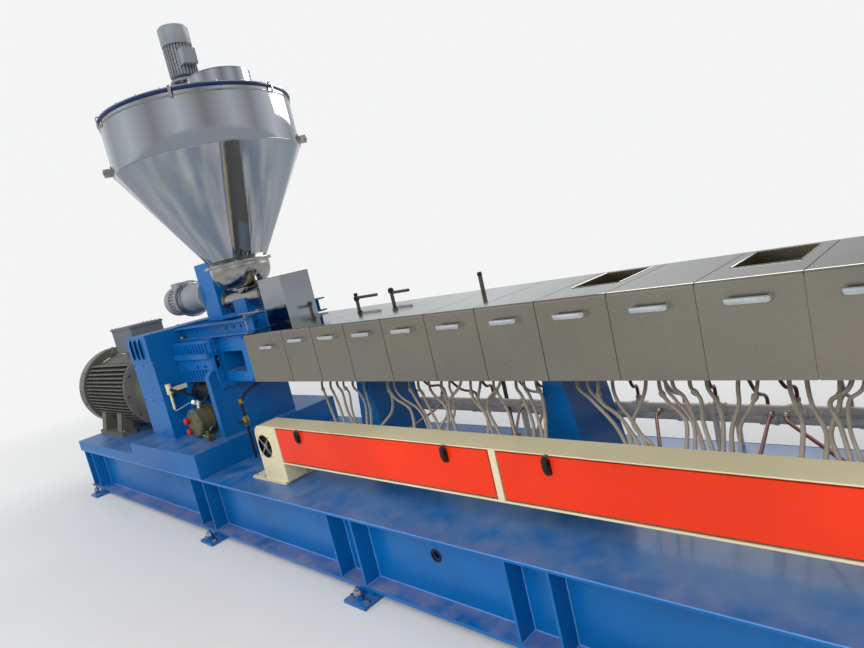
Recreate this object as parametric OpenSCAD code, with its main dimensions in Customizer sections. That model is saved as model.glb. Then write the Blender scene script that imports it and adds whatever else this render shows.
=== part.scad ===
// Twin-screw compounding extruder on its base frame, with drive, feeder, hopper and water valve box.
// X runs along the barrel from the drive to the die, Y away from the operator and Z up from the floor.
// Sizes along X are set out from the joint of the first two barrel covers, sizes along Y from the
// front of the covers, and place() moves the machine so that it is centred on its own footprint.

/* [Barrel covers] */
// Length of one barrel section and of its cover
cover_w = 284; // [240:2:320]
// Length of the longer cover over the feed section
first_cover_w = 430; // [380:5:480]
// Number of equal covers after the first
cover_count = 10; // [8:1:12]
// Height of the covers
cover_h = 301; // [260:1:340]
// Depth of the covers from front to back
cover_depth = 550; // [500:5:620]
// Height of the lower edge of the covers above the floor
cover_z = 900; // [860:5:960]
// Thickness of the cover sheet
sheet_t = 3; // [2:0.5:5]
// Open joint between neighbouring covers
cover_gap = 4; // [2:1:8]
// Radius of the folded edges along the covers
fold_r = 10; // [5:1:20]
// Lip folded inwards along the lower edges of the covers
cover_lip = 30; // [15:1:50]
// Opening in the top of the vented covers, along the barrel
hatch_w = 190; // [120:5:220]
// Opening in the top of the vented covers, across the barrel
hatch_d = 290; // [200:5:330]
// Depth of the collar under each vent opening
hatch_collar = 60; // [30:5:60]

/* [Cover handles] */
// Length of a pull handle
handle_l = 125; // [90:1:160]
// How far a handle stands off its cover
handle_proud = 30; // [20:1:45]
// Thickness of the handle bar
handle_t = 9; // [6:1:14]
// Height of the handle bar
handle_h = 14; // [10:1:20]
// Distance from the top of a cover down to its handle
handle_drop = 61; // [40:1:120]

/* [Barrel and screws] */
// Width of the barrel
barrel_w = 230; // [180:5:280]
// Height of the barrel
barrel_h = 180; // [150:5:200]
// Thickness of the flanges that join the barrel sections
barrel_flange_t = 28; // [20:1:40]
// How far the barrel flanges stand out all round
barrel_flange_out = 18; // [8:1:30]
// Distance between the two screws
screw_pitch = 60; // [50:1:70]
// Diameter of the screw shafts in the open frame
shaft_d = 46; // [30:1:48]
// Diameter of the coupling sleeves on the screw shafts
sleeve_d = 54; // [50:1:55]

/* [Die] */
// Length of the adapter after the last barrel section
die_adapter_l = 120; // [80:5:160]
// Diameter of the strand die
die_d = 240; // [180:5:280]
// Length of the strand die
die_l = 130; // [90:5:180]
// Number of strand holes
die_holes = 12; // [6:1:16]

/* [Base frame] */
// Reach of the base in front of the covers
base_front = 388; // [360:2:420]
// Depth of the base from front to back
base_w = 1088; // [1000:4:1160]
// Height of the deck above the floor
base_top = 395; // [360:5:430]
// Thickness of the deck plate
deck_t = 12; // [8:1:20]
// Gap between the floor and the beams
beam_clear = 45; // [40:1:60]
// Width of the beam flanges
flange_w = 190; // [160:5:220]
// Thickness of the beam flanges
flange_t = 16; // [12:1:26]
// Thickness of the beam webs, stiffeners and closing plates
web_t = 12; // [8:1:16]
// Distance between the two stiffeners over a foot
stiffener_gap = 180; // [160:5:200]
// Length of the base past the last piece that stands on it
base_over = 150; // [145:5:180]

/* [Levelling feet] */
// Width of a foot plate along the machine
foot_w = 150; // [110:5:160]
// Distance from the middle of a stiffener pair to its foot
foot_shift = 75; // [60:1:85]
// Reach of a foot plate past the edge of the beam
foot_reach = 72; // [55:1:90]
// Thickness of a foot plate
foot_t = 16; // [10:1:20]
// Diameter of a levelling bolt
foot_bolt_d = 24; // [16:1:30]

/* [Drive pedestal and guard] */
// Height of the gearbox pedestal above the floor
pedestal_top = 555; // [540:5:575]
// Distance from the gearbox pedestal's right end to the first cover joint
pedestal_x = 690; // [670:5:710]
// Length of the gearbox pedestal
pedestal_l = 1090; // [1060:5:1140]
// Distance from the drive's centre line to the front of the covers
drive_y = 156; // [140:1:170]
// Width of the coupling guard along the machine
guard_w = 365; // [330:5:400]
// Distance from the guard's right side to the first cover joint
guard_x = 1325; // [1310:1:1340]
// Depth of the coupling guard across the machine
guard_depth = 776; // [740:2:800]
// Height of the top of the coupling guard
guard_top = 1310; // [1300:1:1320]
// Height of the louvred head of the guard
guard_head = 185; // [150:5:220]
// Number of louvre slots in the guard head
louvre_count = 3; // [2:1:4]

/* [Main motor] */
// Height of the motor shaft above the floor
motor_z = 827; // [815:1:840]
// Radius of the fan cowl
cowl_r = 368; // [350:1:370]
// Length of the fan cowl
cowl_l = 200; // [180:5:260]
// How far the motor's fan end reaches past the base
cowl_overhang = 260; // [200:5:320]
// Height of the motor shaft above its feet
shaft_h = 355; // [340:1:370]
// Length of the motor's feet
motor_foot_l = 560; // [500:5:640]
// Length of the finned motor frame
motor_l = 940; // [900:5:980]
// Radius over the fins
motor_r = 350; // [335:1:352]
// Radius of the frame under the fins
motor_core_r = 292; // [270:1:300]
// Number of cooling fins on each side
fin_count = 17; // [11:2:19]
// Thickness of a cooling fin
fin_t = 8; // [6:1:12]
// Length of the terminal box on the motor
terminal_l = 455; // [400:5:480]
// Depth of the terminal box across the machine
terminal_d = 272; // [240:2:320]
// Height of the top of the terminal box above the floor
terminal_top = 1374; // [1340:1:1390]

/* [Gearbox] */
// Length of the gearbox case
case_l = 535; // [520:5:550]
// Width of the gearbox case across the machine
case_w = 452; // [430:2:470]
// Height of the underside of the gearbox case
case_z = 925; // [915:1:935]
// Height of the top of the gearbox case
case_top = 1200; // [1190:1:1203]
// Height of the joint flange of the gearbox case
case_split = 1100; // [1080:1:1110]
// Number of upright ribs above and below the joint
rib_count = 12; // [8:1:14]
// Thickness of a rib
rib_t = 9; // [6:1:12]
// How far the ribs stand out
rib_out = 14; // [8:1:18]
// Radius of the case's upright corners
case_r = 18; // [10:1:24]
// Thickness of the end plate that carries the open frame
output_l = 15; // [14:1:20]
// Reach of the gearbox supports in front of and behind the case
support_reach = 50; // [30:2:60]

/* [Open frame] */
// Height of the window in the open frame
window_h = 136; // [120:2:150]
// Length of the window in the open frame
window_l = 262; // [240:2:270]
// Thickness of the bar under the window
sill_t = 73; // [60:1:80]
// Thickness of the wall between the window and the gearbox
window_in = 10; // [8:1:20]

/* [Oil unit] */
// Diameter of the oil cooler
cooler_d = 130; // [100:2:140]
// Length of the oil cooler
cooler_l = 360; // [300:5:380]
// Diameter of the oil pump
pump_d = 200; // [180:2:202]
// Length of the oil pump across the machine
pump_l = 280; // [240:5:300]

/* [Feeder] */
// Height of the feeder's rails
rail_h = 88; // [70:1:89]
// Height of the feeder's screw above the floor
feed_z = 1410; // [1400:1:1413]
// Radius of the feeder's trough
trough_r = 70; // [60:1:72]
// Radius of the trough's inlet under the hopper neck
throat_r = 58; // [45:1:60]
// Width of the upright bracket along the machine
bracket_w = 216; // [190:2:240]
// Height of the top of the upright bracket
bracket_top = 1700; // [1680:5:1720]
// Radius of the feeder motor's flange
feeder_flange_r = 140; // [120:1:150]

/* [Feed hood] */
// Length of the feed hood along the barrel
hood_l = 248; // [220:2:260]
// Depth of the feed hood across the barrel
hood_d = 206; // [180:2:230]
// Height of the feed hood above the covers
hood_h = 299; // [260:1:330]

/* [Hopper] */
// Distance from the hopper's axis to the first cover joint
hopper_x = 735; // [725:1:745]
// Radius of the upper cylinder of the hopper
hopper_r = 585; // [560:1:600]
// Height of the hopper's rim above the floor
hopper_top = 2633; // [2560:5:2700]
// Height of the joint between the cylinder and the cone
cone_top = 2308; // [2250:5:2360]
// Height of the lower end of the cone
cone_z = 1650; // [1640:5:1670]
// Radius of the lower end of the cone
cone_r = 182; // [170:1:190]
// Radius of the bowl under the cone
bowl_r = 196; // [188:1:202]
// Radius of the flat bottom of the bowl
bowl_floor_r = 100; // [90:1:120]
// Height of the lower end of the neck under the cone
neck_z = 1484; // [1482:1:1500]
// Thickness of the hopper's wall
hopper_t = 4; // [3:0.5:6]
// Radius of the rolled rim
rim_r = 10; // [7:1:14]

/* [Lid] */
// Radius of the inlet drum on the lid
inlet_r = 190; // [170:1:195]
// Height of the inlet drum
inlet_h = 130; // [100:5:160]
// Radius of the stirrer motor
stirrer_r = 92; // [80:1:100]
// Height of the stirrer's finned motor
stirrer_h = 230; // [200:5:260]

/* [Valve box] */
// Height of the top of the valve box above the floor
box_top = 725; // [715:1:740]
// Height of the valve box
box_h = 210; // [200:1:220]
// Depth of the valve box
box_d = 125; // [115:1:135]
// Distance from the covers' front to the valve box's front
box_front = 240; // [230:1:250]
// Length of one door of the valve box
door_l = 1451; // [1380:1:1500]
// Width of the post between the doors
post_w = 43; // [36:1:55]
// Width of a leg of the valve box
leg_w = 227; // [210:1:245]
// Distance from the left leg's outer side to the first cover joint
leg_x = 147; // [140:1:155]
// Radius of the rounded upper corner of a leg
leg_r = 65; // [50:1:75]
// Thickness of the valve box's sheet
box_t = 3; // [2:0.5:4]
// Gap round a closed door
door_gap = 6; // [5.5:0.5:8]
// Depth of a door's folded edge
door_fold = 20; // [16:1:26]
// Diameter of a door's pivot pin
pivot_d = 6; // [5:0.5:6.5]
// Radius of the ventilator's opening
fan_r = 68; // [60:1:72]
// Distance from a latch to the nearer end of its door
latch_in = 213; // [150:1:300]

/* [Columns] */
// Width of a barrel column at its foot
column_foot_w = 235; // [200:5:260]
// Width of a barrel column at its head
column_head_w = 88; // [70:2:100]
// Depth of a barrel column across the machine
column_d = 310; // [280:5:330]

/* [Water tubes] */
// Diameter of a water tube
tube_d = 12; // [9:1:14]
// Diameter of a copper pipe
copper_d = 14; // [10:1:16]
// Diameter of the water mains
main_d = 42; // [34:1:50]

/* [Hidden] */
$fn = 64;

// Levels and lines that several pieces share
cover_top = cover_z + cover_h;
axis_y = cover_depth / 2;
axis_z = cover_z + 150;
barrel_x0 = -first_cover_w;
barrel_x1 = cover_count * cover_w;
barrel_z0 = axis_z - barrel_h / 2;
barrel_z1 = axis_z + barrel_h / 2;
rear_y = base_w - base_front;
deck_z = base_top - deck_t;
web_y = -base_front + flange_w / 2;
rear_web_y = rear_y - flange_w / 2;

// Drive positions, worked out from right to left
guard_x1 = -guard_x;
guard_x0 = guard_x1 - guard_w;
guard_y0 = drive_y - guard_depth / 2;
guard_y1 = drive_y + guard_depth / 2;
pedestal_x1 = -pedestal_x;
pedestal_x0 = pedestal_x1 - pedestal_l;
case_x0 = guard_x1;
case_x1 = case_x0 + case_l;
case_y0 = drive_y - case_w / 2;
case_y1 = drive_y + case_w / 2;
output_x1 = case_x1 + output_l;
frame_x0 = output_x1;
frame_x1 = barrel_x0;
motor_x1 = guard_x0 - 560;
motor_x0 = motor_x1 - motor_l;
cowl_x0 = motor_x0 - cowl_l;
bed_z = motor_z - shaft_h;
base_x0 = cowl_x0 + cowl_overhang;
motor_foot_x0 = motor_x0 + 75;

// Valve box positions
box_x0 = -leg_x;
door_x0 = box_x0 + leg_w + box_t + door_gap;
door2_x0 = door_x0 + door_l + post_w;
box_x1 = door2_x0 + door_l + door_gap + box_t + leg_w;
box_z = box_top - box_h;
box_y0 = -box_front;
box_y1 = box_y0 + box_d;
door_z0 = box_z + 16;
door_z1 = box_top - 11;
hinge_in = 7;
pivot_y = box_y0 + hinge_in;
pivot_z = door_z0 + hinge_in;
pivot_play = 0.08;
shaft_seat = 12;
shaft_seat_play = 1;
base_x1 = max(box_x1, barrel_x1 + die_adapter_l + die_l) + base_over;

// Feeder positions
rail_z = case_top + 10;
rail_top = rail_z + rail_h;
rail_w = 60;
rail_x0 = guard_x1 + 10;
rail_x1 = -320;
bracket_x0 = -hopper_x - 446;
bracket_x1 = bracket_x0 + bracket_w;
bracket_y0 = axis_y - 100;
bracket_y1 = axis_y + 100;
hood_x0 = -392;
hood_x1 = hood_x0 + hood_l;
hood_y0 = axis_y - hood_d / 2;
hood_y1 = axis_y + hood_d / 2;
feeder_motor_z = feed_z + 73;

// Hopper and lid positions
hopper_y = axis_y;
lid_rise = 19;
lid_z = hopper_top + lid_rise;
stirrer_x = -hopper_x - 15;
stirrer_y = hopper_y - 10;
inlet_x = -hopper_x + 235;
inlet_y = hopper_y + 75;

rim_out = 2;

// Feet stand under the stiffener pairs, the outer ones near the ends of the base
foot_pitch = [-1990, -785, 685, 1719];
pair_x = concat([base_x0 + 160], foot_pitch, [base_x1 - 200]);
// The front beam has no stiffeners and no foot at the second pair, where the drive's closing plate is
front_pair_x = [for (x = pair_x) if (x != foot_pitch[0]) x];

// Columns under the barrel
column_x = [448, 1630, barrel_x1 - 140];

// Centre of the footprint, which place() moves to the origin
foot_y0 = -base_front - foot_reach;
foot_y1 = max(rear_y + foot_reach, hopper_y + hopper_r + rim_out + rim_r);
mid_x = (cowl_x0 + base_x1) / 2;
mid_y = (foot_y0 + foot_y1) / 2;

machine_blue = [0.10, 0.36, 0.66];
cream = [0.84, 0.81, 0.68];
orange_red = [0.93, 0.27, 0.06];
stainless = [0.68, 0.67, 0.64];
motor_grey = [0.37, 0.36, 0.31];
olive = [0.30, 0.30, 0.20];

module place() {
    translate([-mid_x, -mid_y, 0]) children();
}

// A block between two limits along each axis
module span(x, y, z) {
    translate([x[0], y[0], z[0]]) cube([x[1] - x[0], y[1] - y[0], z[1] - z[0]]);
}

// A flat outline drawn in Y and Z and carried along X
module along_x(x0, x1) {
    translate([x0, 0, 0]) rotate([90, 0, 90]) linear_extrude(x1 - x0) children();
}

// A flat outline drawn in X and Z and carried along Y
module along_y(y0, y1) {
    translate([0, y1, 0]) rotate([90, 0, 0]) linear_extrude(y1 - y0) children();
}

module round_x(x0, x1, y, z, r) {
    translate([x0, y, z]) rotate([0, 90, 0]) cylinder(h = x1 - x0, r = r);
}

module round_y(y0, y1, x, z, r) {
    translate([x, y1, z]) rotate([90, 0, 0]) cylinder(h = y1 - y0, r = r);
}

module round_z(z0, z1, x, y, r) {
    translate([x, y, z0]) cylinder(h = z1 - z0, r = r);
}

// A rectangle with rounded upper corners and square lower ones
module arched(u0, u1, v0, v1, r) {
    translate([u0, v0]) square([u1 - u0, v1 - v0 - r]);
    translate([u0 + r, v0]) square([u1 - u0 - 2 * r, v1 - v0]);
    for (u = [u0 + r, u1 - r]) translate([u, v1 - r]) circle(r);
}

// A rectangle with four rounded corners
module rounded(u0, u1, v0, v1, r) {
    translate([u0, v0 + r]) square([u1 - u0, v1 - v0 - 2 * r]);
    translate([u0 + r, v0]) square([u1 - u0 - 2 * r, v1 - v0]);
    for (u = [u0 + r, u1 - r], v = [v0 + r, v1 - r]) translate([u, v]) circle(r);
}

// One beam of the base, a web on a broad lower flange that the deck closes above
module base_beam(y) {
    along_x(base_x0, base_x1) {
        translate([y - flange_w / 2, beam_clear]) square([flange_w, flange_t]);
        translate([y - web_t / 2, beam_clear]) square([web_t, deck_z - beam_clear]);
    }
}

// The front beam has a cable hole in its web
module base_front_beam() {
    color(machine_blue) difference() {
        base_beam(web_y);
        round_y(web_y - web_t, web_y + web_t, 1197, 255, 24);
    }
}

module base_rear_beam() {
    color(machine_blue) base_beam(rear_web_y);
}

// A pair of stiffeners over each foot, on both sides of the webs
module base_stiffeners() {
    reach = flange_w / 2 - 4;
    color(machine_blue) for (b = [[web_y, front_pair_x], [rear_web_y, pair_x]], x = b[1], s = [-1, 1]) {
        px = x + s * stiffener_gap / 2;
        for (y = [b[0] - reach, b[0] + web_t / 2])
            span([px - web_t / 2, px + web_t / 2], [y, y + reach - web_t / 2],
                 [beam_clear + flange_t, deck_z]);
    }
}

module base_cross_beams() {
    color(machine_blue) for (x = pair_x)
        along_y(web_y + web_t / 2, rear_web_y - web_t / 2) {
            translate([x - 60, 110]) square([120, 14]);
            translate([x - 60, 326]) square([120, 14]);
            translate([x - 6, 110]) square([12, 230]);
        }
}

module base_deck() {
    color(machine_blue) span([base_x0, base_x1], [-base_front, rear_y], [deck_z, base_top]);
}

// A foot plate with a spacer under the flange and a bolt in front of it, mirrored for the rear beam
module foot(x, s, edge) {
    translate([x, edge, 0]) scale_y(s) {
        span([-foot_w / 2, foot_w / 2], [-foot_reach, flange_w / 2], [0, foot_t]);
        span([-foot_w / 3, foot_w / 3], [8, flange_w / 2], [foot_t, beam_clear]);
        round_z(foot_t, beam_clear + 22, 0, -foot_reach / 2, foot_bolt_d / 2);
        translate([0, -foot_reach / 2, foot_t]) cylinder(h = 18, r = foot_bolt_d * 0.9, $fn = 6);
    }
}

module scale_y(s) {
    if (s < 0) mirror([0, 1, 0]) children();
    else children();
}

module levelling_feet() {
    color(machine_blue) {
        for (x = front_pair_x) foot(x + foot_shift, 1, -base_front);
        for (x = pair_x) foot(x + foot_shift, -1, rear_y);
    }
}

// The gearbox pedestal and the lower motor bed, one welded box
module drive_pedestal() {
    color(machine_blue) {
        span([pedestal_x0, pedestal_x1], [-base_front, rear_y], [base_top, pedestal_top]);
        span([base_x0, pedestal_x0], [-base_front, rear_y], [base_top, bed_z]);
    }
}

// Fins lie flat on both sides of the frame and end on its round outline
module fin_outline() {
    fin_pitch = motor_core_r * 1.7 / (fin_count - 1);
    circle(motor_core_r);
    intersection() {
        circle(motor_r);
        union() {
            for (i = [0 : fin_count - 1])
                translate([-motor_r, -motor_core_r * 0.85 + i * fin_pitch - fin_t / 2])
                    square([motor_r * 2, fin_t]);
        }
    }
}

// Cast foot along one side of the motor: a sole with two splayed legs that end on the frame
module motor_foot(s) {
    sole_t = 34;
    sole_w = 122;
    leg_l = 100;
    x0 = motor_foot_x0;
    x1 = x0 + motor_foot_l;
    sole_z = sole_t - shaft_h;
    span([x0, x1], [s * 291 - sole_w / 2, s * 291 + sole_w / 2], [-shaft_h, sole_z]);
    difference() {
        for (x = [x0 + 30, x1 - 30 - leg_l]) along_x(x, x + leg_l)
            polygon([[s * 240, sole_z], [s * 340, sole_z], [s * 300, -150], [s * 200, -150]]);
        round_x(x0, x1, 0, 0, motor_core_r);
    }
}

// Finned frame, turned end shield with its bearing boss, shaft and feet
module main_motor() {
    bell_l = 170;
    color(motor_grey) translate([0, drive_y, motor_z]) {
        along_x(motor_x0, motor_x1) fin_outline();
        translate([motor_x1, 0, 0]) rotate([0, 90, 0]) rotate_extrude()
            polygon([[0, 0], [motor_r - 6, 0], [motor_r - 6, 30], [motor_r - 20, 36],
                     [motor_core_r - 26, 58], [200, bell_l - 34], [186, bell_l - 20], [150, bell_l],
                     [0, bell_l]]);
        round_x(motor_x1 + bell_l, guard_x0 + 60, 0, 0, 48);
        motor_foot(-1);
        motor_foot(1);
    }
}

// The cowl is a turned shell with a domed grille end
module motor_fan_cowl() {
    cowl_t = 6;
    dome = 46;
    color([0.20, 0.20, 0.16]) translate([cowl_x0, drive_y, motor_z]) rotate([0, 90, 0])
        difference() {
            rotate_extrude() polygon([[0, 0], [cowl_r - dome, 0], [cowl_r - dome * 0.3, dome * 0.3],
                [cowl_r, dome], [cowl_r, cowl_l], [motor_core_r - 20, cowl_l],
                [motor_core_r - 20, cowl_l - cowl_t], [cowl_r - cowl_t, cowl_l - cowl_t],
                [cowl_r - cowl_t, dome], [cowl_r - dome, cowl_t], [0, cowl_t]]);
            for (r = [110, 190, 270], a = [0 : 30 : 330])
                rotate(a + r) translate([r, 0, -1]) cylinder(h = cowl_t + 2, r = r / 9, $fn = 24);
        }
}

// Sheet guard over the coupling with a louvred head
module coupling_guard() {
    guard_t = 5;
    head_z = guard_top - guard_head;
    slot_pitch = (guard_w - 110) / louvre_count;
    color(machine_blue) difference() {
        union() {
            span([guard_x0, guard_x1], [guard_y0, guard_y1], [pedestal_top, guard_top - guard_t]);
            span([guard_x0, guard_x1], [guard_y0 - 6, guard_y1 + 6], [head_z, guard_top]);
        }
        span([guard_x0 + guard_t, guard_x1 - guard_t], [guard_y0 + guard_t, guard_y1 - guard_t],
             [pedestal_top - 1, guard_top - guard_t]);
        for (i = [0 : louvre_count - 1])
            span([guard_x0 + 45 + i * slot_pitch, guard_x0 + 45 + i * slot_pitch + slot_pitch * 0.5],
                 [guard_y0 - 10, guard_y0 + 20], [head_z + 22, guard_top - 22]);
        round_x(guard_x0 - 1, guard_x0 + guard_t + 1, drive_y, motor_z, 49);
    }
}

// Terminal box on the motor: a neck on the frame, the box and its lid
module drive_cable_box() {
    x0 = motor_x0 + 450;
    x1 = x0 + terminal_l;
    y0 = drive_y - terminal_d / 2;
    y1 = drive_y + terminal_d / 2;
    lid_t = 20;
    lid_over = 8;
    neck_in = 70;
    box_z0 = terminal_top - 214;
    color([0.30, 0.31, 0.30]) {
        difference() {
            span([x0 + neck_in, x1 - neck_in], [drive_y - 90, drive_y + 90],
                 [motor_z + 0.9 * motor_core_r, box_z0]);
            round_x(x0, x1, drive_y, motor_z, motor_core_r);
        }
        translate([0, 0, box_z0]) linear_extrude(terminal_top - lid_t - box_z0)
            rounded(x0, x1, y0, y1, 14);
        translate([0, 0, terminal_top - lid_t]) linear_extrude(lid_t)
            rounded(x0 - lid_over, x1 + lid_over, y0 - lid_over, y1 + lid_over, 20);
    }
}

// Cast case with rounded corners, a joint flange, upright ribs on its long sides and an end flange
module gearbox_case() {
    rib_in = 20;
    rib_pitch = (case_l - 2 * rib_in) / (rib_count - 1);
    flange_out = 22;
    flange_h = 30;
    plate_y0 = case_y0 + 15;
    plate_y1 = cover_depth - 5;
    color(machine_blue) {
        difference() {
            union() {
                translate([0, 0, case_z]) linear_extrude(case_top - case_z)
                    rounded(case_x0, case_x1, case_y0, case_y1, case_r);
                translate([0, 0, case_split - flange_h / 2]) linear_extrude(flange_h)
                    rounded(case_x0, case_x1, case_y0 - flange_out, case_y1 + flange_out, case_r);
                span([case_x1 - case_r, case_x1], [case_y0 + case_r, case_y1], [case_z, case_top]);
                span([case_x1, output_x1], [plate_y0, plate_y1], [case_z - 59, case_top + 5]);
                for (i = [0 : rib_count - 1]) {
                    x = case_x0 + rib_in + i * rib_pitch;
                    span([x - rib_t / 2, x + rib_t / 2], [case_y0 - rib_out, case_y1 + rib_out],
                         [case_split, case_top - 14]);
                    if (x < case_x1 - 70)
                        span([x - rib_t / 2, x + rib_t / 2], [case_y0 - rib_out, case_y1 + rib_out],
                             [case_z + 8, case_split - 92]);
                }
            }
            span([output_x1 - 60, output_x1 + 1], [case_y0 + 20, case_y0 + 53],
                 [case_z + 80, case_z + 167]);
            shaft_bores(output_x1 - shaft_seat - shaft_seat_play, output_x1 + 1);
        }
        translate([0, 0, case_top]) linear_extrude(8)
            rounded(case_x0 + 60, case_x1 - 60, case_y0 + 110, case_y1 - 50, case_r);
    }
}

// Two support plates under the case, the right one with ears beside it
module gearbox_supports() {
    y0 = case_y0 - support_reach;
    y1 = case_y1 + support_reach;
    ear_z = axis_z - 50;
    color(machine_blue) {
        difference() {
            along_x(case_x1 - 55, case_x1) polygon([[y0, pedestal_top], [y1, pedestal_top],
                [y1, ear_z - 30], [y1 - 30, ear_z], [y0 + 30, ear_z], [y0, ear_z - 30]]);
            span([case_x1 - 56, case_x1 + 1], [case_y0, case_y1], [case_z, ear_z + 1]);
        }
        span([case_x0 + 5, case_x0 + 65], [case_y0, case_y1], [pedestal_top, case_z]);
    }
}

// Cast frame between gearbox and barrel, open on both sides so that the shaft couplings are reached
module open_frame() {
    frame_z0 = cover_z - 5;
    win_x0 = frame_x0 + window_in;
    win_z0 = frame_z0 + sill_t;
    color(machine_blue) difference() {
        along_x(frame_x0, frame_x1) rounded(5, cover_depth - 5, frame_z0, cover_top + 4, 12);
        along_y(-1, cover_depth + 1) rounded(win_x0, win_x0 + window_l, win_z0, win_z0 + window_h, 8);
        span([frame_x0 - 1, frame_x1 + 1], [axis_y - 75, axis_y + 75], [axis_z - 45, axis_z + 45]);
    }
}

module oil_cooler() {
    cooler_x0 = case_x0 + 75;
    cooler_y = case_y0 + 75;
    cooler_z = case_z - 25 - cooler_d / 2;
    color([0.10, 0.11, 0.10]) {
        round_x(cooler_x0, cooler_x0 + cooler_l, cooler_y, cooler_z, cooler_d / 2 - 6);
        for (x = [cooler_x0, cooler_x0 + cooler_l - 22])
            round_x(x, x + 22, cooler_y, cooler_z, cooler_d / 2);
        for (x = [cooler_x0 + 70, cooler_x0 + cooler_l - 100])
            span([x, x + 30], [cooler_y - 35, cooler_y + 35], [cooler_z, case_z]);
    }
}

// Oil pump lying across the machine on a saddle, a flanged body with two capped ports on its front
module oil_pump() {
    r = pump_d / 2;
    body_r = r - 7;
    pump_x = case_x0 + 250;
    pump_y = case_y0 - 112;
    pump_z = pedestal_top + r + 6;
    color(olive) {
        translate([pump_x, pump_y, pump_z]) rotate([-90, 0, 0]) rotate_extrude()
            polygon([[0, 0], [r - 14, 0], [r - 4, 5], [r, 12], [r, 26], [body_r, 26], [body_r, 98], [r, 98],
                     [r, 112], [body_r, 112], [body_r, pump_l - 40], [body_r - 24, pump_l - 10],
                     [body_r - 50, pump_l], [0, pump_l]]);
        for (c = [[-62, 20], [-58, -55]]) round_y(pump_y - 26, pump_y, pump_x + c[0], pump_z + c[1], 21);
        difference() {
            span([pump_x - 60, pump_x + 60], [pump_y + 118, pump_y + pump_l - 50], [pedestal_top, pump_z]);
            round_y(pump_y, pump_y + pump_l, pump_x, pump_z, body_r);
        }
    }
}

// Filter bowl with its pipe, held by an arm on the left gearbox support
module oil_filter() {
    x = case_x0 + 36;
    y = case_y0 - 120;
    color(cream) {
        round_z(case_z - 50, case_z + 22, x, y, 20);
        round_z(case_z - 160, case_z - 50, x, y, 9);
        span([x - 12, x + 12], [y, case_y0], [case_z - 40, case_z - 10]);
    }
}

// Channel rail that opens outwards
module rail(y0, y1, web_at) {
    along_x(rail_x0, rail_x1) {
        translate([y0, rail_z]) square([y1 - y0, 9]);
        translate([y0, rail_top - 9]) square([y1 - y0, 9]);
        translate([web_at, rail_z]) square([9, rail_h]);
    }
}

// Two channel rails on packing pads over the gearbox, tied by cross plates
module feeder_rails() {
    y_front = -28;
    y_back = cover_depth - 32;
    color(machine_blue) {
        rail(y_front, y_front + rail_w, y_front + rail_w - 9);
        rail(y_back, y_back + rail_w, y_back);
        for (x = [bracket_x0, bracket_x1 - 40, -560])
            span([x, x + 40], [y_front + rail_w, y_back], [rail_top - 40, rail_top]);
        span([case_x0 + 20, case_x1 - 20], [y_front + 8, y_front + rail_w - 8], [case_top, rail_z]);
        span([frame_x0 + 20, frame_x1 - 20], [y_front + 40, y_front + rail_w], [cover_top + 4, rail_z]);
        span([frame_x0 + 20, frame_x1 - 20], [y_back, cover_depth - 6], [cover_top + 4, rail_z]);
    }
}

// Upright and base of the feeder in one outline, with a saddle for the trough
module feeder_bracket() {
    base_x1 = rail_x1 - 160;
    color(machine_blue) {
        along_y(bracket_y0, bracket_y1) polygon([[bracket_x0, rail_top], [base_x1, rail_top],
            [base_x1, rail_top + 18], [bracket_x1 + 60, rail_top + 24], [bracket_x1, rail_top + 24],
            [bracket_x1, bracket_top], [bracket_x0, bracket_top]]);
        difference() {
            span([-hopper_x - 65, -hopper_x + 95], [axis_y - 85, axis_y + 85], [rail_top + 20, feed_z]);
            round_x(-hopper_x - 70, -hopper_x + 100, axis_y, feed_z, trough_r);
        }
    }
}

// Geared motor on the left side of the upright, its motor flange in the middle
module feeder_motor() {
    gear_l = 2.7 * feeder_flange_r;
    fins_l = 1.25 * feeder_flange_r;
    cowl_end_l = 0.5 * feeder_flange_r;
    gear_x0 = bracket_x0 - gear_l;
    fins_x0 = gear_x0 - 24 - fins_l;
    color([0.78, 0.78, 0.74]) {
        round_x(gear_x0, bracket_x0, axis_y, feeder_motor_z, feeder_flange_r - 30);
        round_x(gear_x0 - 24, gear_x0, axis_y, feeder_motor_z, feeder_flange_r);
        translate([0, axis_y, feeder_motor_z]) along_x(fins_x0, gear_x0 - 24) {
            circle(feeder_flange_r - 36);
            for (a = [0 : 15 : 165]) rotate(a)
                translate([-feeder_flange_r + 16, -3]) square([2 * feeder_flange_r - 32, 6]);
        }
        round_x(fins_x0 - cowl_end_l, fins_x0, axis_y, feeder_motor_z, feeder_flange_r - 10);
    }
}

// Horizontal screw trough between the upright and the feed hood, with its inlet under the hopper
module feeder_trough() {
    flange_out = 14;
    flange_l = 16;
    wall = 4;
    bore_x0 = bracket_x1 + 40;
    color(stainless) difference() {
        union() {
            round_x(bracket_x1, hood_x0, axis_y, feed_z, trough_r);
            for (x = [bracket_x1, hood_x0 - flange_l])
                round_x(x, x + flange_l, axis_y, feed_z, trough_r + flange_out);
            round_z(feed_z, neck_z, -hopper_x, axis_y, throat_r + wall);
        }
        round_x(bore_x0, hood_x0 + 1, axis_y, feed_z, trough_r - wall);
        round_z(feed_z, neck_z + 1, -hopper_x, axis_y, throat_r);
    }
}

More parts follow.
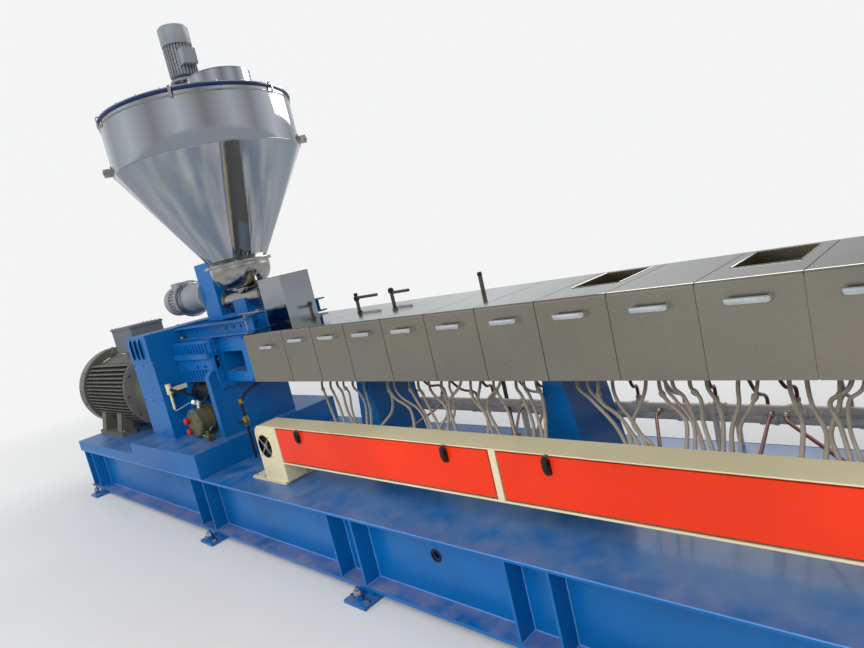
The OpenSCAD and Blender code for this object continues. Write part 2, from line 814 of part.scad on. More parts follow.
// Square stainless chute from the trough's end down to the feed opening
module feed_hood() {
    rim_w = 8;
    color(stainless) difference() {
        union() {
            span([hood_x0, hood_x1], [hood_y0, hood_y1], [cover_top, cover_top + hood_h]);
            span([hood_x0 - rim_w, hood_x1 + rim_w], [hood_y0 - rim_w, hood_y1 + rim_w],
                 [cover_top, cover_top + 6]);
        }
        span([hood_x0 + sheet_t, hood_x1 - sheet_t], [hood_y0 + sheet_t, hood_y1 - sheet_t],
             [cover_top - 1, cover_top + hood_h - sheet_t]);
        round_x(hood_x0 - 1, hood_x0 + sheet_t + 1, axis_y, feed_z, trough_r - 4);
    }
}

module hopper_shell() {
    color(stainless) translate([-hopper_x, hopper_y, 0]) rotate_extrude($fn = 128)
        polygon([[cone_r, cone_z], [hopper_r, cone_top], [hopper_r, hopper_top],
                 [hopper_r - hopper_t, hopper_top], [hopper_r - hopper_t, cone_top + 1],
                 [cone_r - hopper_t, cone_z]]);
}

// Bowl-shaped neck under the cone, clamped to it by a ring and closed down to the trough's inlet
module hopper_neck() {
    t = hopper_t;
    ring_h = 16;
    shoulder = cone_z - 40;
    steps = 10;
    // Points of the bowl's wall, drawn in by d from its outer face
    function bowl(d) = [for (i = [0 : steps]) let (a = 90 * i / steps)
        [bowl_floor_r + (bowl_r - d - bowl_floor_r) * sin(a),
         neck_z + d + (shoulder - neck_z - d) * (1 - cos(a))]];
    inner = bowl(t);
    color(stainless) translate([-hopper_x, hopper_y, 0]) rotate_extrude()
        polygon(concat([[throat_r, neck_z]], bowl(0),
            [[bowl_r, cone_z - ring_h], [bowl_r + 10, cone_z - ring_h], [bowl_r + 10, cone_z],
             [cone_r - t, cone_z], [cone_r - t, cone_z - ring_h], [bowl_r - t, cone_z - ring_h]],
            [for (i = [steps : -1 : 0]) inner[i]], [[throat_r, neck_z + t]]));
}

// Rolled bead round the outside of the hopper's upper edge
module hopper_rim() {
    color([0.16, 0.28, 0.46]) translate([-hopper_x, hopper_y, hopper_top - rim_r])
        rotate_extrude($fn = 128) difference() {
            translate([hopper_r + rim_out, 0]) circle(rim_r);
            translate([hopper_r - 4 * rim_r, -2 * rim_r]) square([4 * rim_r, 4 * rim_r]);
        }
}

module hopper_lid() {
    color(stainless) translate([-hopper_x, hopper_y, 0]) {
        rotate_extrude($fn = 128) polygon([[0, lid_z - 4], [hopper_r - 37, lid_z - 4],
            [hopper_r - 26, hopper_top], [hopper_r + 4, hopper_top], [hopper_r + 4, hopper_top + 6],
            [hopper_r - 22, hopper_top + 6], [hopper_r - 34, lid_z], [0, lid_z]]);
    }
}

// Inlet drum, a cup turned over on the lid
module lid_inlet() {
    color(stainless) translate([inlet_x, inlet_y, lid_z]) difference() {
        cylinder(h = inlet_h, r = inlet_r);
        translate([0, 0, -1]) cylinder(h = inlet_h - 5, r = inlet_r - 4);
    }
}

// Upright geared motor of the stirrer, standing on the lid
module stirrer_motor() {
    gear_h = 180;
    cowl_h = 110;
    color([0.78, 0.78, 0.74]) translate([stirrer_x, stirrer_y, lid_z]) {
        cylinder(h = 14, r = 70);
        cylinder(h = gear_h, r = 62);
        translate([0, 0, gear_h]) cylinder(h = 16, r = stirrer_r + 6);
        translate([0, 0, gear_h + 16]) linear_extrude(stirrer_h - 16) {
            circle(stirrer_r - 18);
            for (a = [0 : 20 : 160]) rotate(a) translate([-stirrer_r, -3]) square([2 * stirrer_r, 6]);
        }
        translate([0, 0, gear_h + stirrer_h]) cylinder(h = cowl_h, r = stirrer_r + 4);
        translate([stirrer_r - 30, -50, gear_h + 70]) cube([70, 100, 110]);
    }
}

// Barrel sections with a flange at each joint
module barrel() {
    color([0.45, 0.44, 0.43]) {
        difference() {
            span([barrel_x0, barrel_x1], [axis_y - barrel_w / 2, axis_y + barrel_w / 2],
                 [barrel_z0, barrel_z1]);
            shaft_bores(barrel_x0 - 1, barrel_x0 + shaft_seat + shaft_seat_play);
        }
        for (i = [0 : cover_count])
            span([i * cover_w - barrel_flange_t / 2, min(i * cover_w + barrel_flange_t / 2, barrel_x1)],
                 [axis_y - barrel_w / 2 - barrel_flange_out, axis_y + barrel_w / 2 + barrel_flange_out],
                 [barrel_z0, barrel_z1 + barrel_flange_out]);
    }
}

// The two blind bores that carry the ends of the screw shafts
module shaft_bores(x0, x1) {
    for (s = [-1, 1])
        round_x(x0, x1, axis_y + s * screw_pitch / 2, axis_z, shaft_d / 2 + pivot_play);
}

// Screw shaft across the open frame, with a keyed sleeve that joins gearbox shaft and screw
module screw_shaft(s) {
    mid = (frame_x0 + frame_x1) / 2;
    key = 8;
    color(stainless) difference() {
        union() {
            round_x(frame_x0 - shaft_seat, frame_x1 + shaft_seat, axis_y + s * screw_pitch / 2, axis_z,
                    shaft_d / 2);
            for (x = [mid - 92, mid + 8])
                round_x(x, x + 84, axis_y + s * screw_pitch / 2, axis_z, sleeve_d / 2);
        }
        span([mid - 80, mid + 80], [axis_y + s * screw_pitch / 2 - key / 2,
             axis_y + s * screw_pitch / 2 + key / 2], [axis_z + shaft_d / 2, axis_z + sleeve_d]);
    }
}

module screw_shaft_front() {
    screw_shaft(-1);
}

module screw_shaft_rear() {
    screw_shaft(1);
}

// Tapered columns from the deck to the barrel
module barrel_columns() {
    neck = cover_z - 40;
    color(machine_blue) for (x = column_x)
        along_y(axis_y - column_d / 2, axis_y + column_d / 2) {
            a = column_foot_w / 2;
            b = column_head_w / 2;
            polygon([[x - a, base_top], [x + a, base_top], [x + b, neck], [x + b, barrel_z0],
                     [x - b, barrel_z0], [x - b, neck]]);
        }
}

// Folded hoops on the barrel joints that carry the covers
module cover_carriers() {
    bar_t = 5;
    bar_w = 24;
    seat_z = axis_z - 20;
    reach = axis_y - barrel_w / 2 - barrel_flange_out;
    corner_r = fold_r + 2;
    color(stainless) for (i = [0 : cover_count]) {
        x = i == cover_count ? barrel_x1 - cover_gap / 2 - sheet_t - bar_w : i * cover_w - bar_w / 2;
        along_x(x, x + bar_w) {
            difference() {
                arched(sheet_t, cover_depth - sheet_t, seat_z, cover_top - sheet_t, corner_r);
                arched(sheet_t + bar_t, cover_depth - sheet_t - bar_t, seat_z + bar_t,
                       cover_top - sheet_t - bar_t, corner_r - bar_t);
                translate([reach, seat_z - 1]) square([cover_depth - 2 * reach, bar_t + 2]);
            }
        }
    }
}

// Cross outline of a cover: folded sheet with rounded upper edges and inward lips below
module cover_outline() {
    difference() {
        arched(0, cover_depth, cover_z, cover_top, fold_r);
        arched(sheet_t, cover_depth - sheet_t, cover_z + sheet_t, cover_top - sheet_t, fold_r - sheet_t);
        translate([cover_lip, cover_z - 1]) square([cover_depth - 2 * cover_lip, sheet_t + 2]);
    }
}

module plain_cover(x0, x1) {
    along_x(x0 + cover_gap / 2, x1 - cover_gap / 2) cover_outline();
}

// The cover over the feed section, closed at its left end where it meets the open frame
module cover_feed() {
    color(stainless) difference() {
        union() {
            plain_cover(-first_cover_w, 0);
            along_x(barrel_x0 + cover_gap / 2, barrel_x0 + cover_gap / 2 + sheet_t)
                arched(0, cover_depth, cover_z, cover_top, fold_r);
        }
        span([barrel_x0, barrel_x0 + 20], [axis_y - 130, axis_y + 130], [barrel_z0 - 12, barrel_z1 + 12]);
        span([hood_x0 + 10, hood_x1 - 10], [hood_y0 + 10, hood_y1 - 10], [cover_top - 20, cover_top + 1]);
    }
}

// The plain covers, and the last one closed at its right end
module covers_plain() {
    color(stainless) {
        for (i = [0 : cover_count - 1])
            if (i != 6 && i != 8) plain_cover(i * cover_w, (i + 1) * cover_w);
        difference() {
            along_x(barrel_x1 - cover_gap / 2 - sheet_t, barrel_x1 - cover_gap / 2)
                arched(0, cover_depth, cover_z, cover_top, fold_r);
            span([barrel_x1 - 20, barrel_x1], [axis_y - 150, axis_y + 150],
                 [barrel_z0 - 15, barrel_z1 + 34]);
        }
    }
}

// A cover with a vent opening whose collar reaches down towards the barrel
module vent_cover(i) {
    x = (i + 0.5) * cover_w;
    hx = hatch_w / 2;
    hy0 = cover_depth - 55 - hatch_d;
    z0 = cover_top - hatch_collar;
    color(stainless) difference() {
        union() {
            plain_cover(i * cover_w, (i + 1) * cover_w);
            span([x - hx - sheet_t, x + hx + sheet_t], [hy0 - sheet_t, hy0 + hatch_d + sheet_t],
                 [z0, cover_top - 1]);
        }
        span([x - hx, x + hx], [hy0, hy0 + hatch_d], [z0 - 1, cover_top + 1]);
    }
}

module cover_vent_a() {
    vent_cover(6);
}

module cover_vent_b() {
    vent_cover(8);
}

// A flat bar bent to a U with rounded corners
module handle(x, z) {
    r = 12;
    translate([x, 0, z - handle_h / 2]) linear_extrude(handle_h) difference() {
        translate([-handle_l / 2, -handle_proud]) rounded(0, handle_l, 0, handle_proud + r, r);
        translate([-handle_l / 2 + handle_t, -handle_proud + handle_t])
            rounded(0, handle_l - 2 * handle_t, 0, handle_proud + r, r - 5);
        translate([-handle_l, 0]) square([2 * handle_l, handle_proud]);
    }
}

module cover_handles() {
    color([0.85, 0.85, 0.84]) {
        handle(-first_cover_w * 0.4, cover_top - handle_drop - 26);
        for (i = [0 : cover_count - 1]) handle((i + 0.5) * cover_w, cover_top - handle_drop);
    }
}

// Adapter and strand die at the outlet
module die_head() {
    x0 = barrel_x1;
    x1 = x0 + die_adapter_l;
    color([0.45, 0.44, 0.43]) difference() {
        union() {
            span([x0, x1], [axis_y - 95, axis_y + 95], [axis_z - 75, axis_z + 75]);
            round_x(x1, x1 + die_l, axis_y, axis_z, die_d / 2);
            round_x(x1, x1 + 24, axis_y, axis_z, die_d / 2 + 16);
        }
        for (i = [0 : die_holes - 1])
            round_x(x1 + die_l - 40, x1 + die_l + 1,
                    axis_y + (i - (die_holes - 1) / 2) * die_d * 0.7 / die_holes, axis_z, 3);
    }
}

// Channel of the valve box, open at the front where the doors hang
module valve_box() {
    x0 = box_x0 + leg_w;
    x1 = box_x1 - leg_w;
    post_x = door_x0 + door_l + door_gap;
    color(cream) {
        along_x(x0, x1) {
            translate([box_y0, box_z]) square([box_d, box_t]);
            translate([box_y0, box_top - box_t]) square([box_d, box_t]);
            translate([box_y1 - box_t, box_z]) square([box_t, box_h]);
            translate([box_y0, box_top - 11 + door_gap]) square([box_t, 11 - door_gap]);
            translate([box_y0, box_z]) square([box_t, 8]);
        }
        for (x = [x0, x1 - box_t]) span([x, x + box_t], [box_y0, box_y1], [box_z, box_top]);
        span([post_x, door2_x0 - door_gap], [box_y0, box_y0 + 35], [box_z, box_top]);
        for (x = [door_x0, door2_x0])
            round_x(x - door_gap - 1, x + 10, pivot_y, pivot_z, pivot_d / 2);
        for (x = [door_x0 + door_l, door2_x0 + door_l])
            round_x(x - 10, x + door_gap + 1, pivot_y, pivot_z, pivot_d / 2);
    }
}

// Outline of a leg seen from the front, its outer upper corner rounded
module leg_outline(w) {
    translate([leg_r, 0]) square([w - leg_r, box_top - leg_foot_z]);
    square([w, box_top - leg_foot_z - leg_r]);
    translate([leg_r, box_top - leg_foot_z - leg_r]) circle(leg_r);
}

leg_foot_t = 14;
leg_foot_z = base_top + leg_foot_t;

// One hollow leg on its foot plate, with the ventilator's opening in its front
module box_leg() {
    translate([0, 0, leg_foot_z]) difference() {
        along_y(box_y0, box_y1) leg_outline(leg_w);
        translate([box_t, 0, 0]) along_y(box_y0 + box_t, box_y1 - box_t)
            intersection() {
                leg_outline(leg_w);
                square([leg_w - 2 * box_t, box_top - leg_foot_z - box_t]);
            }
        round_y(box_y0 - 1, box_y0 + box_t + 1, leg_w * 0.34, 194, fan_r);
    }
    span([-139, leg_w - 18], [box_y0 - 10, box_y1 + 58], [base_top, leg_foot_z]);
}

module valve_box_legs() {
    color(cream) {
        translate([box_x0, 0, 0]) box_leg();
        translate([box_x1, 0, 0]) mirror([1, 0, 0]) box_leg();
    }
}

// Folded door with holes in its side folds for the pivot pins
module door(x0) {
    x1 = x0 + door_l;
    t = 2;
    color(orange_red) difference() {
        span([x0, x1], [box_y0, box_y0 + door_fold], [door_z0, door_z1]);
        span([x0 + t, x1 - t], [box_y0 + t, box_y0 + door_fold + 1], [door_z0 + t, door_z1 - t]);
        for (x = [x0 - 1, x1 - t - 1])
            round_x(x, x + t + 2, pivot_y, pivot_z, pivot_d / 2 + pivot_play);
    }
}

module door_left() {
    door(door_x0);
}

module door_right() {
    door(door2_x0);
}

// Draw latches near both ends of a door
module door_latches(x0) {
    color([0.08, 0.08, 0.08]) for (x = [x0 + latch_in, x0 + door_l - latch_in]) {
        along_x(x - 13, x + 13) polygon([[box_y0, door_z1 - 64], [box_y0, door_z1 - 6],
            [box_y0 - 8, door_z1 + 9], [box_y0 - 16, door_z1 + 6], [box_y0 - 24, door_z1 - 30],
            [box_y0 - 18, door_z1 - 60]]);
    }
}

module door_latches_left() {
    door_latches(door_x0);
}

module door_latches_right() {
    door_latches(door2_x0);
}

// Ventilator behind each leg's opening: frame ring, hub and crossed guard bars
module ventilator() {
    y = box_y0 + box_t;
    difference() {
        round_y(y, y + 25, 0, 0, fan_r + 5);
        round_y(y - 1, y + 26, 0, 0, fan_r - 2);
    }
    round_y(y, y + 25, 0, 0, 24);
    for (a = [45, 135]) rotate([0, a, 0])
        span([-fan_r - 2, fan_r + 2], [y, y + 5], [-4, 4]);
}

module leg_ventilator() {
    z = leg_foot_z + 194;
    color([0.70, 0.70, 0.66]) {
        translate([box_x0 + leg_w * 0.34, 0, z]) ventilator();
        translate([box_x1 - leg_w * 0.34, 0, z]) ventilator();
    }
}

// Manifold bars and valve bodies on the back wall of the valve box
module valve_manifold() {
    valve_count = 8;
    y1 = box_y1 - box_t;
    color([0.72, 0.60, 0.35]) {
        for (z = [box_z + 45, box_top - 75])
            span([door_x0 + 20, door2_x0 + door_l - 20], [y1 - 26, y1], [z, z + 26]);
        for (d = [door_x0, door2_x0], i = [0 : valve_count - 1]) {
            x = d + 100 + i * (door_l - 200) / (valve_count - 1);
            span([x - 16, x + 16], [y1 - 54, y1 - 26], [box_z + 45, box_z + 85]);
            round_y(y1 - 74, y1 - 54, x, box_z + 65, 12);
        }
    }
}

// A round tube of a few sides swept through points
function unit(v) = v / norm(v);
function bend_dir(p, i) = i == 0 || i == len(p) - 1 ? [0, 0, 1] : unit(p[i + 1] - p[i - 1]);
function side_dir(d) = unit(cross([1, 0, 0], d));

// Points of a smooth curve from a to b that leaves a and reaches b upright
function s_curve(a, b, n) = [for (i = [0 : n]) let (t = i / n, e = t * t * (3 - 2 * t))
    [a[0] + (b[0] - a[0]) * e, a[1] + (b[1] - a[1]) * e, a[2] + (b[2] - a[2]) * t]];

module swept(p, d, sides) {
    rings = len(p);
    points = [for (i = [0 : rings - 1]) let (t = bend_dir(p, i), u = side_dir(t), w = cross(t, u))
        for (k = [0 : sides - 1]) p[i] + d / 2 * (cos(k * 360 / sides) * u + sin(k * 360 / sides) * w)];
    walls = [for (i = [0 : rings - 2], k = [0 : sides - 1]) let (m = (k + 1) % sides)
        [i * sides + k, i * sides + m, (i + 1) * sides + m, (i + 1) * sides + k]];
    polyhedron(points, concat([for (f = walls) [f[3], f[2], f[1], f[0]]],
        [[for (k = [0 : sides - 1]) k]], [[for (k = [sides - 1 : -1 : 0]) (rings - 1) * sides + k]]));
}

// Whether a tube at x would pass through a column's head
function by_column(x) = min([for (c = column_x) abs(x - c)]) < column_head_w / 2 + 18;

// Formed tubes from the barrel sections down to the top of the valve box
module water_tubes() {
    color([0.52, 0.50, 0.46]) for (i = [0 : cover_count - 1], k = [0 : 3]) {
        x = i * cover_w + 40 + k * 62;
        lean = 50 * sin(i * 97 + k * 61);
        y = axis_y - barrel_w / 2 + 12 + 26 * (k % 2);
        if (!by_column(x))
            swept(s_curve([x + lean, box_y1 - 12 - 20 * (k % 2), box_top], [x, y, barrel_z0], 6),
                  tube_d, 8);
    }
}

// Copper pipes from the rear of the barrel down to the water mains
module copper_pipes() {
    color([0.55, 0.30, 0.18]) for (i = [0 : cover_count - 1]) {
        x = i * cover_w + 150;
        if (!by_column(x))
            swept(s_curve([x - 30, main_y[i % 2], main_z[i % 2] + main_d / 2],
                  [x, axis_y + barrel_w / 2 - 20, barrel_z0], 6), copper_d, 8);
    }
}

main_y = [rear_y - 155, rear_y - 35];
main_z = [base_top + 205, base_top + 125];

// Two water mains along the back on saddle posts
module water_mains() {
    color([0.70, 0.70, 0.66]) {
        for (k = [0, 1]) round_x(60, barrel_x1 - 20, main_y[k], main_z[k], main_d / 2);
        for (x = [200, 1130, 2060, 2700], k = [0, 1])
            span([x + 40 * k, x + 40 * k + 12], [main_y[k] - 18, main_y[k] + 18], [base_top, main_z[k]]);
    }
}

// Slim posts behind the covers, two with an arm near the top
module rear_posts() {
    // Each post's x, y, top and length of its arm
    posts = [[-35, rear_y - 88, cover_top + 82, 200], [283, rear_y - 74, cover_top + 78, 150],
             [1000, rear_y - 100, cover_top + 85, 0]];
    color([0.30, 0.27, 0.24]) {
        for (p = posts) {
            round_z(base_top, p[2], p[0], p[1], 11);
            round_z(base_top, base_top + 8, p[0], p[1], 34);
            if (p[3] > 0) round_x(p[0], p[0] + p[3], p[1], p[2] - 30, 9);
        }
    }
}

place() base_front_beam();
place() base_rear_beam();
place() base_stiffeners();
place() base_cross_beams();
place() base_deck();
place() levelling_feet();
place() drive_pedestal();
place() main_motor();
place() motor_fan_cowl();
place() coupling_guard();
place() drive_cable_box();
place() gearbox_case();
place() gearbox_supports();
place() open_frame();
place() oil_cooler();
place() oil_pump();
place() oil_filter();
place() feeder_rails();
place() feeder_bracket();
place() feeder_motor();
place() feeder_trough();
place() feed_hood();
place() hopper_shell();
place() hopper_neck();
place() hopper_rim();
place() hopper_lid();
place() lid_inlet();
place() stirrer_motor();
place() barrel();
place() screw_shaft_front();
place() screw_shaft_rear();
place() barrel_columns();
place() cover_carriers();
place() cover_feed();
place() covers_plain();
place() cover_vent_a();
place() cover_vent_b();
place() cover_handles();
place() die_head();
place() valve_box();
place() valve_box_legs();
place() door_left();
place() door_right();
place() door_latches_left();
place() door_latches_right();
place() leg_ventilator();
place() valve_manifold();
place() water_tubes();
place() copper_pipes();
place() water_mains();
place() rear_posts();
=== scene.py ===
"""Finishes, fittings and fasteners of the twin-screw extruder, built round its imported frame.

Lengths are in metres in the frame's own axes: +X along the barrel to the die, +Y away from the
operator, +Z up. at(x, y, z) takes millimetres counted from the first cover joint, the covers' front
face and the floor, which is how the machine is set out.
"""

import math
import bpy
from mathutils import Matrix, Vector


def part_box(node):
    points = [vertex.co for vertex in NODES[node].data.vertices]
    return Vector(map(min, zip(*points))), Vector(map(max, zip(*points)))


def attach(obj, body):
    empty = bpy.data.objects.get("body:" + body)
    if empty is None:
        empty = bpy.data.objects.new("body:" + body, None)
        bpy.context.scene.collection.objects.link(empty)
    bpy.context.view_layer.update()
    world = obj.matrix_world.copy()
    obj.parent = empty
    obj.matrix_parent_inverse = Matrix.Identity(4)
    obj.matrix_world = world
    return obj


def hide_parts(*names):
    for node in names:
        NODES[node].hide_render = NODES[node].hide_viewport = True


bl_info = {
    "name": "Twin-screw extruder dressing",
    "version": (1, 0, 0),
    "blender": (4, 5, 0),
    "location": "3D View > Sidebar > Extruder",
    "description": "Finishes, fittings and fasteners of a twin-screw plastic extruder",
    "category": "Object",
}

import bmesh
import bpy
import numpy as np
from mathutils import Matrix, Vector

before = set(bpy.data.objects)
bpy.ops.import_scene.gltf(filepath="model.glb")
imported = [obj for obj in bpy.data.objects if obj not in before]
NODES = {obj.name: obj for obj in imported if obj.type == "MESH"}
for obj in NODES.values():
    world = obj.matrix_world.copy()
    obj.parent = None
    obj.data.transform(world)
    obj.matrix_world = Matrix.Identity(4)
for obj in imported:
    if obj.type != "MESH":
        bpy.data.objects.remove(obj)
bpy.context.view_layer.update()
MM = 0.001
UP, DOWN, FRONT, REAR, LEFT, RIGHT = (0, 0, 1), (0, 0, -1), (0, -1, 0), (0, 1, 0), (-1, 0, 0), (1, 0, 0)
TURN = 2 * np.pi

FEED_LOW, FEED_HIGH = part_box("cover_feed")
COVER_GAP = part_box("covers_plain")[0].x - FEED_HIGH.x
JOINT_X = FEED_HIGH.x + COVER_GAP / 2
FRONT_Y = FEED_LOW.y


def at(x, y, z):
    """Points of the frame in metres, from millimetres along, behind and above the first cover joint."""
    x, y, z = np.broadcast_arrays(np.asarray(x, float), y, z)
    return np.stack([JOINT_X + x * MM, FRONT_Y + y * MM, z * MM], -1)


class Shell:
    """Points and faces of several closed surfaces, gathered until they are made into one piece."""

    def __init__(self):
        self.points, self.faces = np.zeros((0, 3)), []

    def add(self, points, faces):
        """More points, and faces as arrays whose rows number them."""
        start = len(self.points)
        self.points = np.concatenate([self.points, np.reshape(points, (-1, 3))])
        self.faces += [np.asarray(rows) + start for rows in faces]
        return self

    def skin(self, rings, looped=False):
        """A skin over n rings of m points: each point is joined to the next round its ring and to its
        likeness on the next ring. Looped joins the last ring to the first, otherwise both ends close."""
        n, m = rings.shape[:2]
        low = np.arange(n if looped else n - 1)[:, None] * m
        high = (low + m) % (n * m)
        here, after = np.arange(m), (np.arange(m) + 1) % m
        faces = [np.stack([low + here, low + after, high + after, high + here], -1).reshape(-1, 4)]
        if not looped:
            faces += [here[None, ::-1], here[None] + (n - 1) * m]
        return self.add(rings, faces)

    def repeat(self, part, places, way=None, size=1.0, turn=None):
        """Copies of a part: its points times a size, turned by a matrix or so that +Z points a way, and
        moved to the places, all at once."""
        places = np.reshape(places, (-1, 3))
        count, step = len(places), len(part.points)
        if turn is None:
            turn = np.eye(3) if way is None else aimed(way)
        turns = np.broadcast_to(turn, (count, 3, 3))
        points = np.einsum("cij,kj->cki", turns, part.points) * size + places[:, None]
        offsets = np.arange(count)[:, None, None] * step
        return self.add(points, [(rows[None] + offsets).reshape(-1, rows.shape[1]) for rows in part.faces])

    def join(self, *others):
        for other in others:
            self.add(other.points, other.faces)
        return self


def aimed(directions):
    """Turns that carry +Z onto each direction: it is the third column, with the others crossed from it."""
    third = np.atleast_2d(np.asarray(directions, float))
    third = third / np.linalg.norm(third, axis=1, keepdims=True)
    away = np.where(np.abs(third[:, 2:]) > 0.9, [[1.0, 0.0, 0.0]], [[0.0, 0.0, 1.0]])
    first = np.cross(away, third)
    first /= np.linalg.norm(first, axis=1, keepdims=True)
    return np.stack([first, np.cross(third, first), third], -1)


def circle_places(centre, direction, radius, count, start=0.0):
    """Places evenly round an axis: the centre plus the radius times cosine and sine across the axis."""
    turn = aimed(direction)[0]
    a = start + np.arange(count) * TURN / count
    return centre + radius * MM * (np.cos(a)[:, None] * turn[:, 0] + np.sin(a)[:, None] * turn[:, 1])


def lathe(profile, sides=48, looped=False):
    """A turned shape about +Z: each profile row of radius and height is carried round a circle."""
    radius, height = np.array(profile, float).T[:, :, None] * MM
    a = np.linspace(0, TURN, sides, endpoint=False)
    rings = np.stack(np.broadcast_arrays(radius * np.cos(a), radius * np.sin(a), height), -1)
    return Shell().skin(rings, looped)


def hoop(radius, wire, sides=64, round_sides=8, height=0.0):
    """A ring of wire about +Z: a small circle carried round a large one."""
    b = np.linspace(0, TURN, round_sides, endpoint=False)
    return lathe(np.stack([radius + wire * np.cos(b), height + wire * np.sin(b)], -1), sides, True)


def drawn_in(outline, inset):
    """An outline moved in along the mean normal of the two edges that meet at each point."""
    ahead = np.roll(outline, -1, 0) - outline
    behind = outline - np.roll(outline, 1, 0)
    ahead /= np.linalg.norm(ahead, axis=1, keepdims=True)
    behind /= np.linalg.norm(behind, axis=1, keepdims=True)
    along = ahead + behind
    length = np.linalg.norm(along, axis=1, keepdims=True)
    return outline + inset * np.stack([-along[:, 1], along[:, 0]], -1) * 2 / length ** 2


def prism(outline, axis, start, end, edge=1.0):
    """An outline, counter-clockwise in the two other axes, carried from start to end along one axis,
    with both end faces drawn in by the edge."""
    outline = np.array(outline, float)
    inner = drawn_in(outline, edge)
    u, v = [k for k in range(3) if k != axis]
    rings = np.empty((4, len(outline), 3))
    for ring, flat, place in zip(rings, (inner, outline, outline, inner),
            (start, start + edge, end - edge, end)):
        ring[:, u], ring[:, v], ring[:, axis] = flat[:, 0], flat[:, 1], place
    return Shell().skin(at(rings[..., 0], rings[..., 1], rings[..., 2]))


def round_corners(low, high, corner, steps=4):
    """A rectangle whose corners are quarter circles: corner centre plus radius times cosine and sine."""
    low, high = np.array(low, float), np.array(high, float)
    corner = min(corner, *(high - low) * 0.49)
    a = np.linspace(0, TURN / 4, steps)[None] + np.arange(4)[:, None] * TURN / 4
    side = np.array([[1, 1], [-1, 1], [-1, -1], [1, -1]])[:, None]
    centre = (low + high) / 2 + side * ((high - low) / 2 - corner)
    return (centre + corner * np.stack([np.cos(a), np.sin(a)], -1)).reshape(-1, 2)


def block(low, high, axis=2, corner=4.0, edge=1.5):
    """A block with rounded edges along one axis and drawn-in ends, between two corners."""
    u, v = [k for k in range(3) if k != axis]
    outline = round_corners((low[u], low[v]), (high[u], high[v]), corner)
    return prism(outline, axis, low[axis], high[axis], edge)


def loose_block(low, high, corner=4.0, edge=1.5):
    """A block about the origin, for copies."""
    made = block(low, high, 2, corner, edge)
    made.points = made.points - at(0, 0, 0)
    return made


def about_up(angle):
    """A turn about +Z, with the cosine and sine of its angle."""
    c, n = np.cos(angle), np.sin(angle)
    return np.array([[c, -n, 0], [n, c, 0], [0, 0, 1]]), c, n


def curve(points, steps=6):
    """A smooth line through points: on each stretch, the Catmull-Rom cubic of the four points round it."""
    p = np.asarray(points, float)
    q = np.concatenate([2 * p[:1] - p[1:2], p, 2 * p[-1:] - p[-2:-1]])
    t = np.linspace(0, 1, steps, endpoint=False)[None, :, None]
    a, b, c, d = q[:-3, None], q[1:-2, None], q[2:-1, None], q[3:, None]
    line = 0.5 * (2 * b + (c - a) * t + (2 * a - 5 * b + 4 * c - d) * t ** 2
        + (3 * b - a - 3 * c + d) * t ** 3)
    return np.concatenate([line.reshape(-1, 3), p[-1:]])


def bent(points, radius, steps=6):
    """A pipe's line: straight runs, joined at each corner by the quadratic curve between two points
    that lie the radius away from it."""
    p = np.asarray(points, float)
    back, on = p[:-2] - p[1:-1], p[2:] - p[1:-1]
    a = p[1:-1] + back / np.linalg.norm(back, axis=1, keepdims=True) * radius * MM
    b = p[1:-1] + on / np.linalg.norm(on, axis=1, keepdims=True) * radius * MM
    t = np.linspace(0, 1, steps)[None, :, None]
    arcs = (1 - t) ** 2 * a[:, None] + 2 * t * (1 - t) * p[1:-1, None] + t ** 2 * b[:, None]
    return np.concatenate([p[:1], arcs.reshape(-1, 3), p[-1:]])


def pipe(line, radius, across=(1.0, 0.0, 0.0), sides=10, flat=None, square=1.0):
    """A skin along a line: round each point an ellipse of the two radii, raised to the power square,
    in the plane across the line. One fixed direction across keeps it from twisting."""
    line = np.asarray(line, float)
    along = np.gradient(line, axis=0)
    along /= np.linalg.norm(along, axis=1, keepdims=True)
    u = np.cross(along, np.broadcast_to(np.asarray(across, float), along.shape))
    u /= np.linalg.norm(u, axis=1, keepdims=True)
    w = np.cross(along, u)
    a = np.linspace(0, TURN, sides, endpoint=False)
    cosine, sine = np.cos(a), np.sin(a)
    cosine, sine = (np.sign(k) * np.abs(k) ** square for k in (cosine, sine))
    wide = np.broadcast_to(np.asarray(radius, float), len(line))[:, None, None] * MM
    deep = wide if flat is None else np.broadcast_to(float(flat), len(line))[:, None, None] * MM
    return Shell().skin(line[:, None] + wide * cosine[None, :, None] * u[:, None]
        + deep * sine[None, :, None] * w[:, None])


# A flange bolt of 10 mm head radius: a washer, then a six-sided head with a turned crown
BOLT = Shell().join(lathe([(11.6, -0.4), (12.2, 0.4), (12.2, 1.6), (11.6, 2.2)], 14),
                    lathe([(10, 2), (10, 8.2), (8.8, 9.6), (5.5, 10)], 6))
# A cap screw of 8 mm head radius with the rim of its socket standing round a hollow
SOCKET_SCREW = lathe([(7.4, -0.4), (8, 0.4), (8, 7.2), (7.4, 8), (4.6, 8), (4.4, 5), (2.0, 4.8)], 12)


def crossings(xs, ys, zs):
    """Every crossing of three rows of millimetres, as places in the frame."""
    grid = np.stack(np.meshgrid(xs, ys, zs, indexing="ij"), -1).reshape(-1, 3)
    return at(*grid.T)


def make(name, shell, finish, body="root", replaces=(), angle=34):
    """One piece from a shell: faces turned outwards, smooth but for edges sharper than the angle."""
    mesh = bpy.data.meshes.new(name)
    mesh.from_pydata(shell.points.tolist(), [], [row for rows in shell.faces for row in rows.tolist()])
    work = bmesh.new()
    work.from_mesh(mesh)
    bmesh.ops.recalc_face_normals(work, faces=work.faces)
    work.to_mesh(mesh)
    work.free()
    mesh.shade_smooth()
    mesh.set_sharp_from_angle(angle=math.radians(angle))
    mesh.materials.append(FINISHES[finish])
    piece = bpy.data.objects.new(name, mesh)
    bpy.context.collection.objects.link(piece)
    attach(piece, body)
    if replaces:
        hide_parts(*replaces)
    return piece


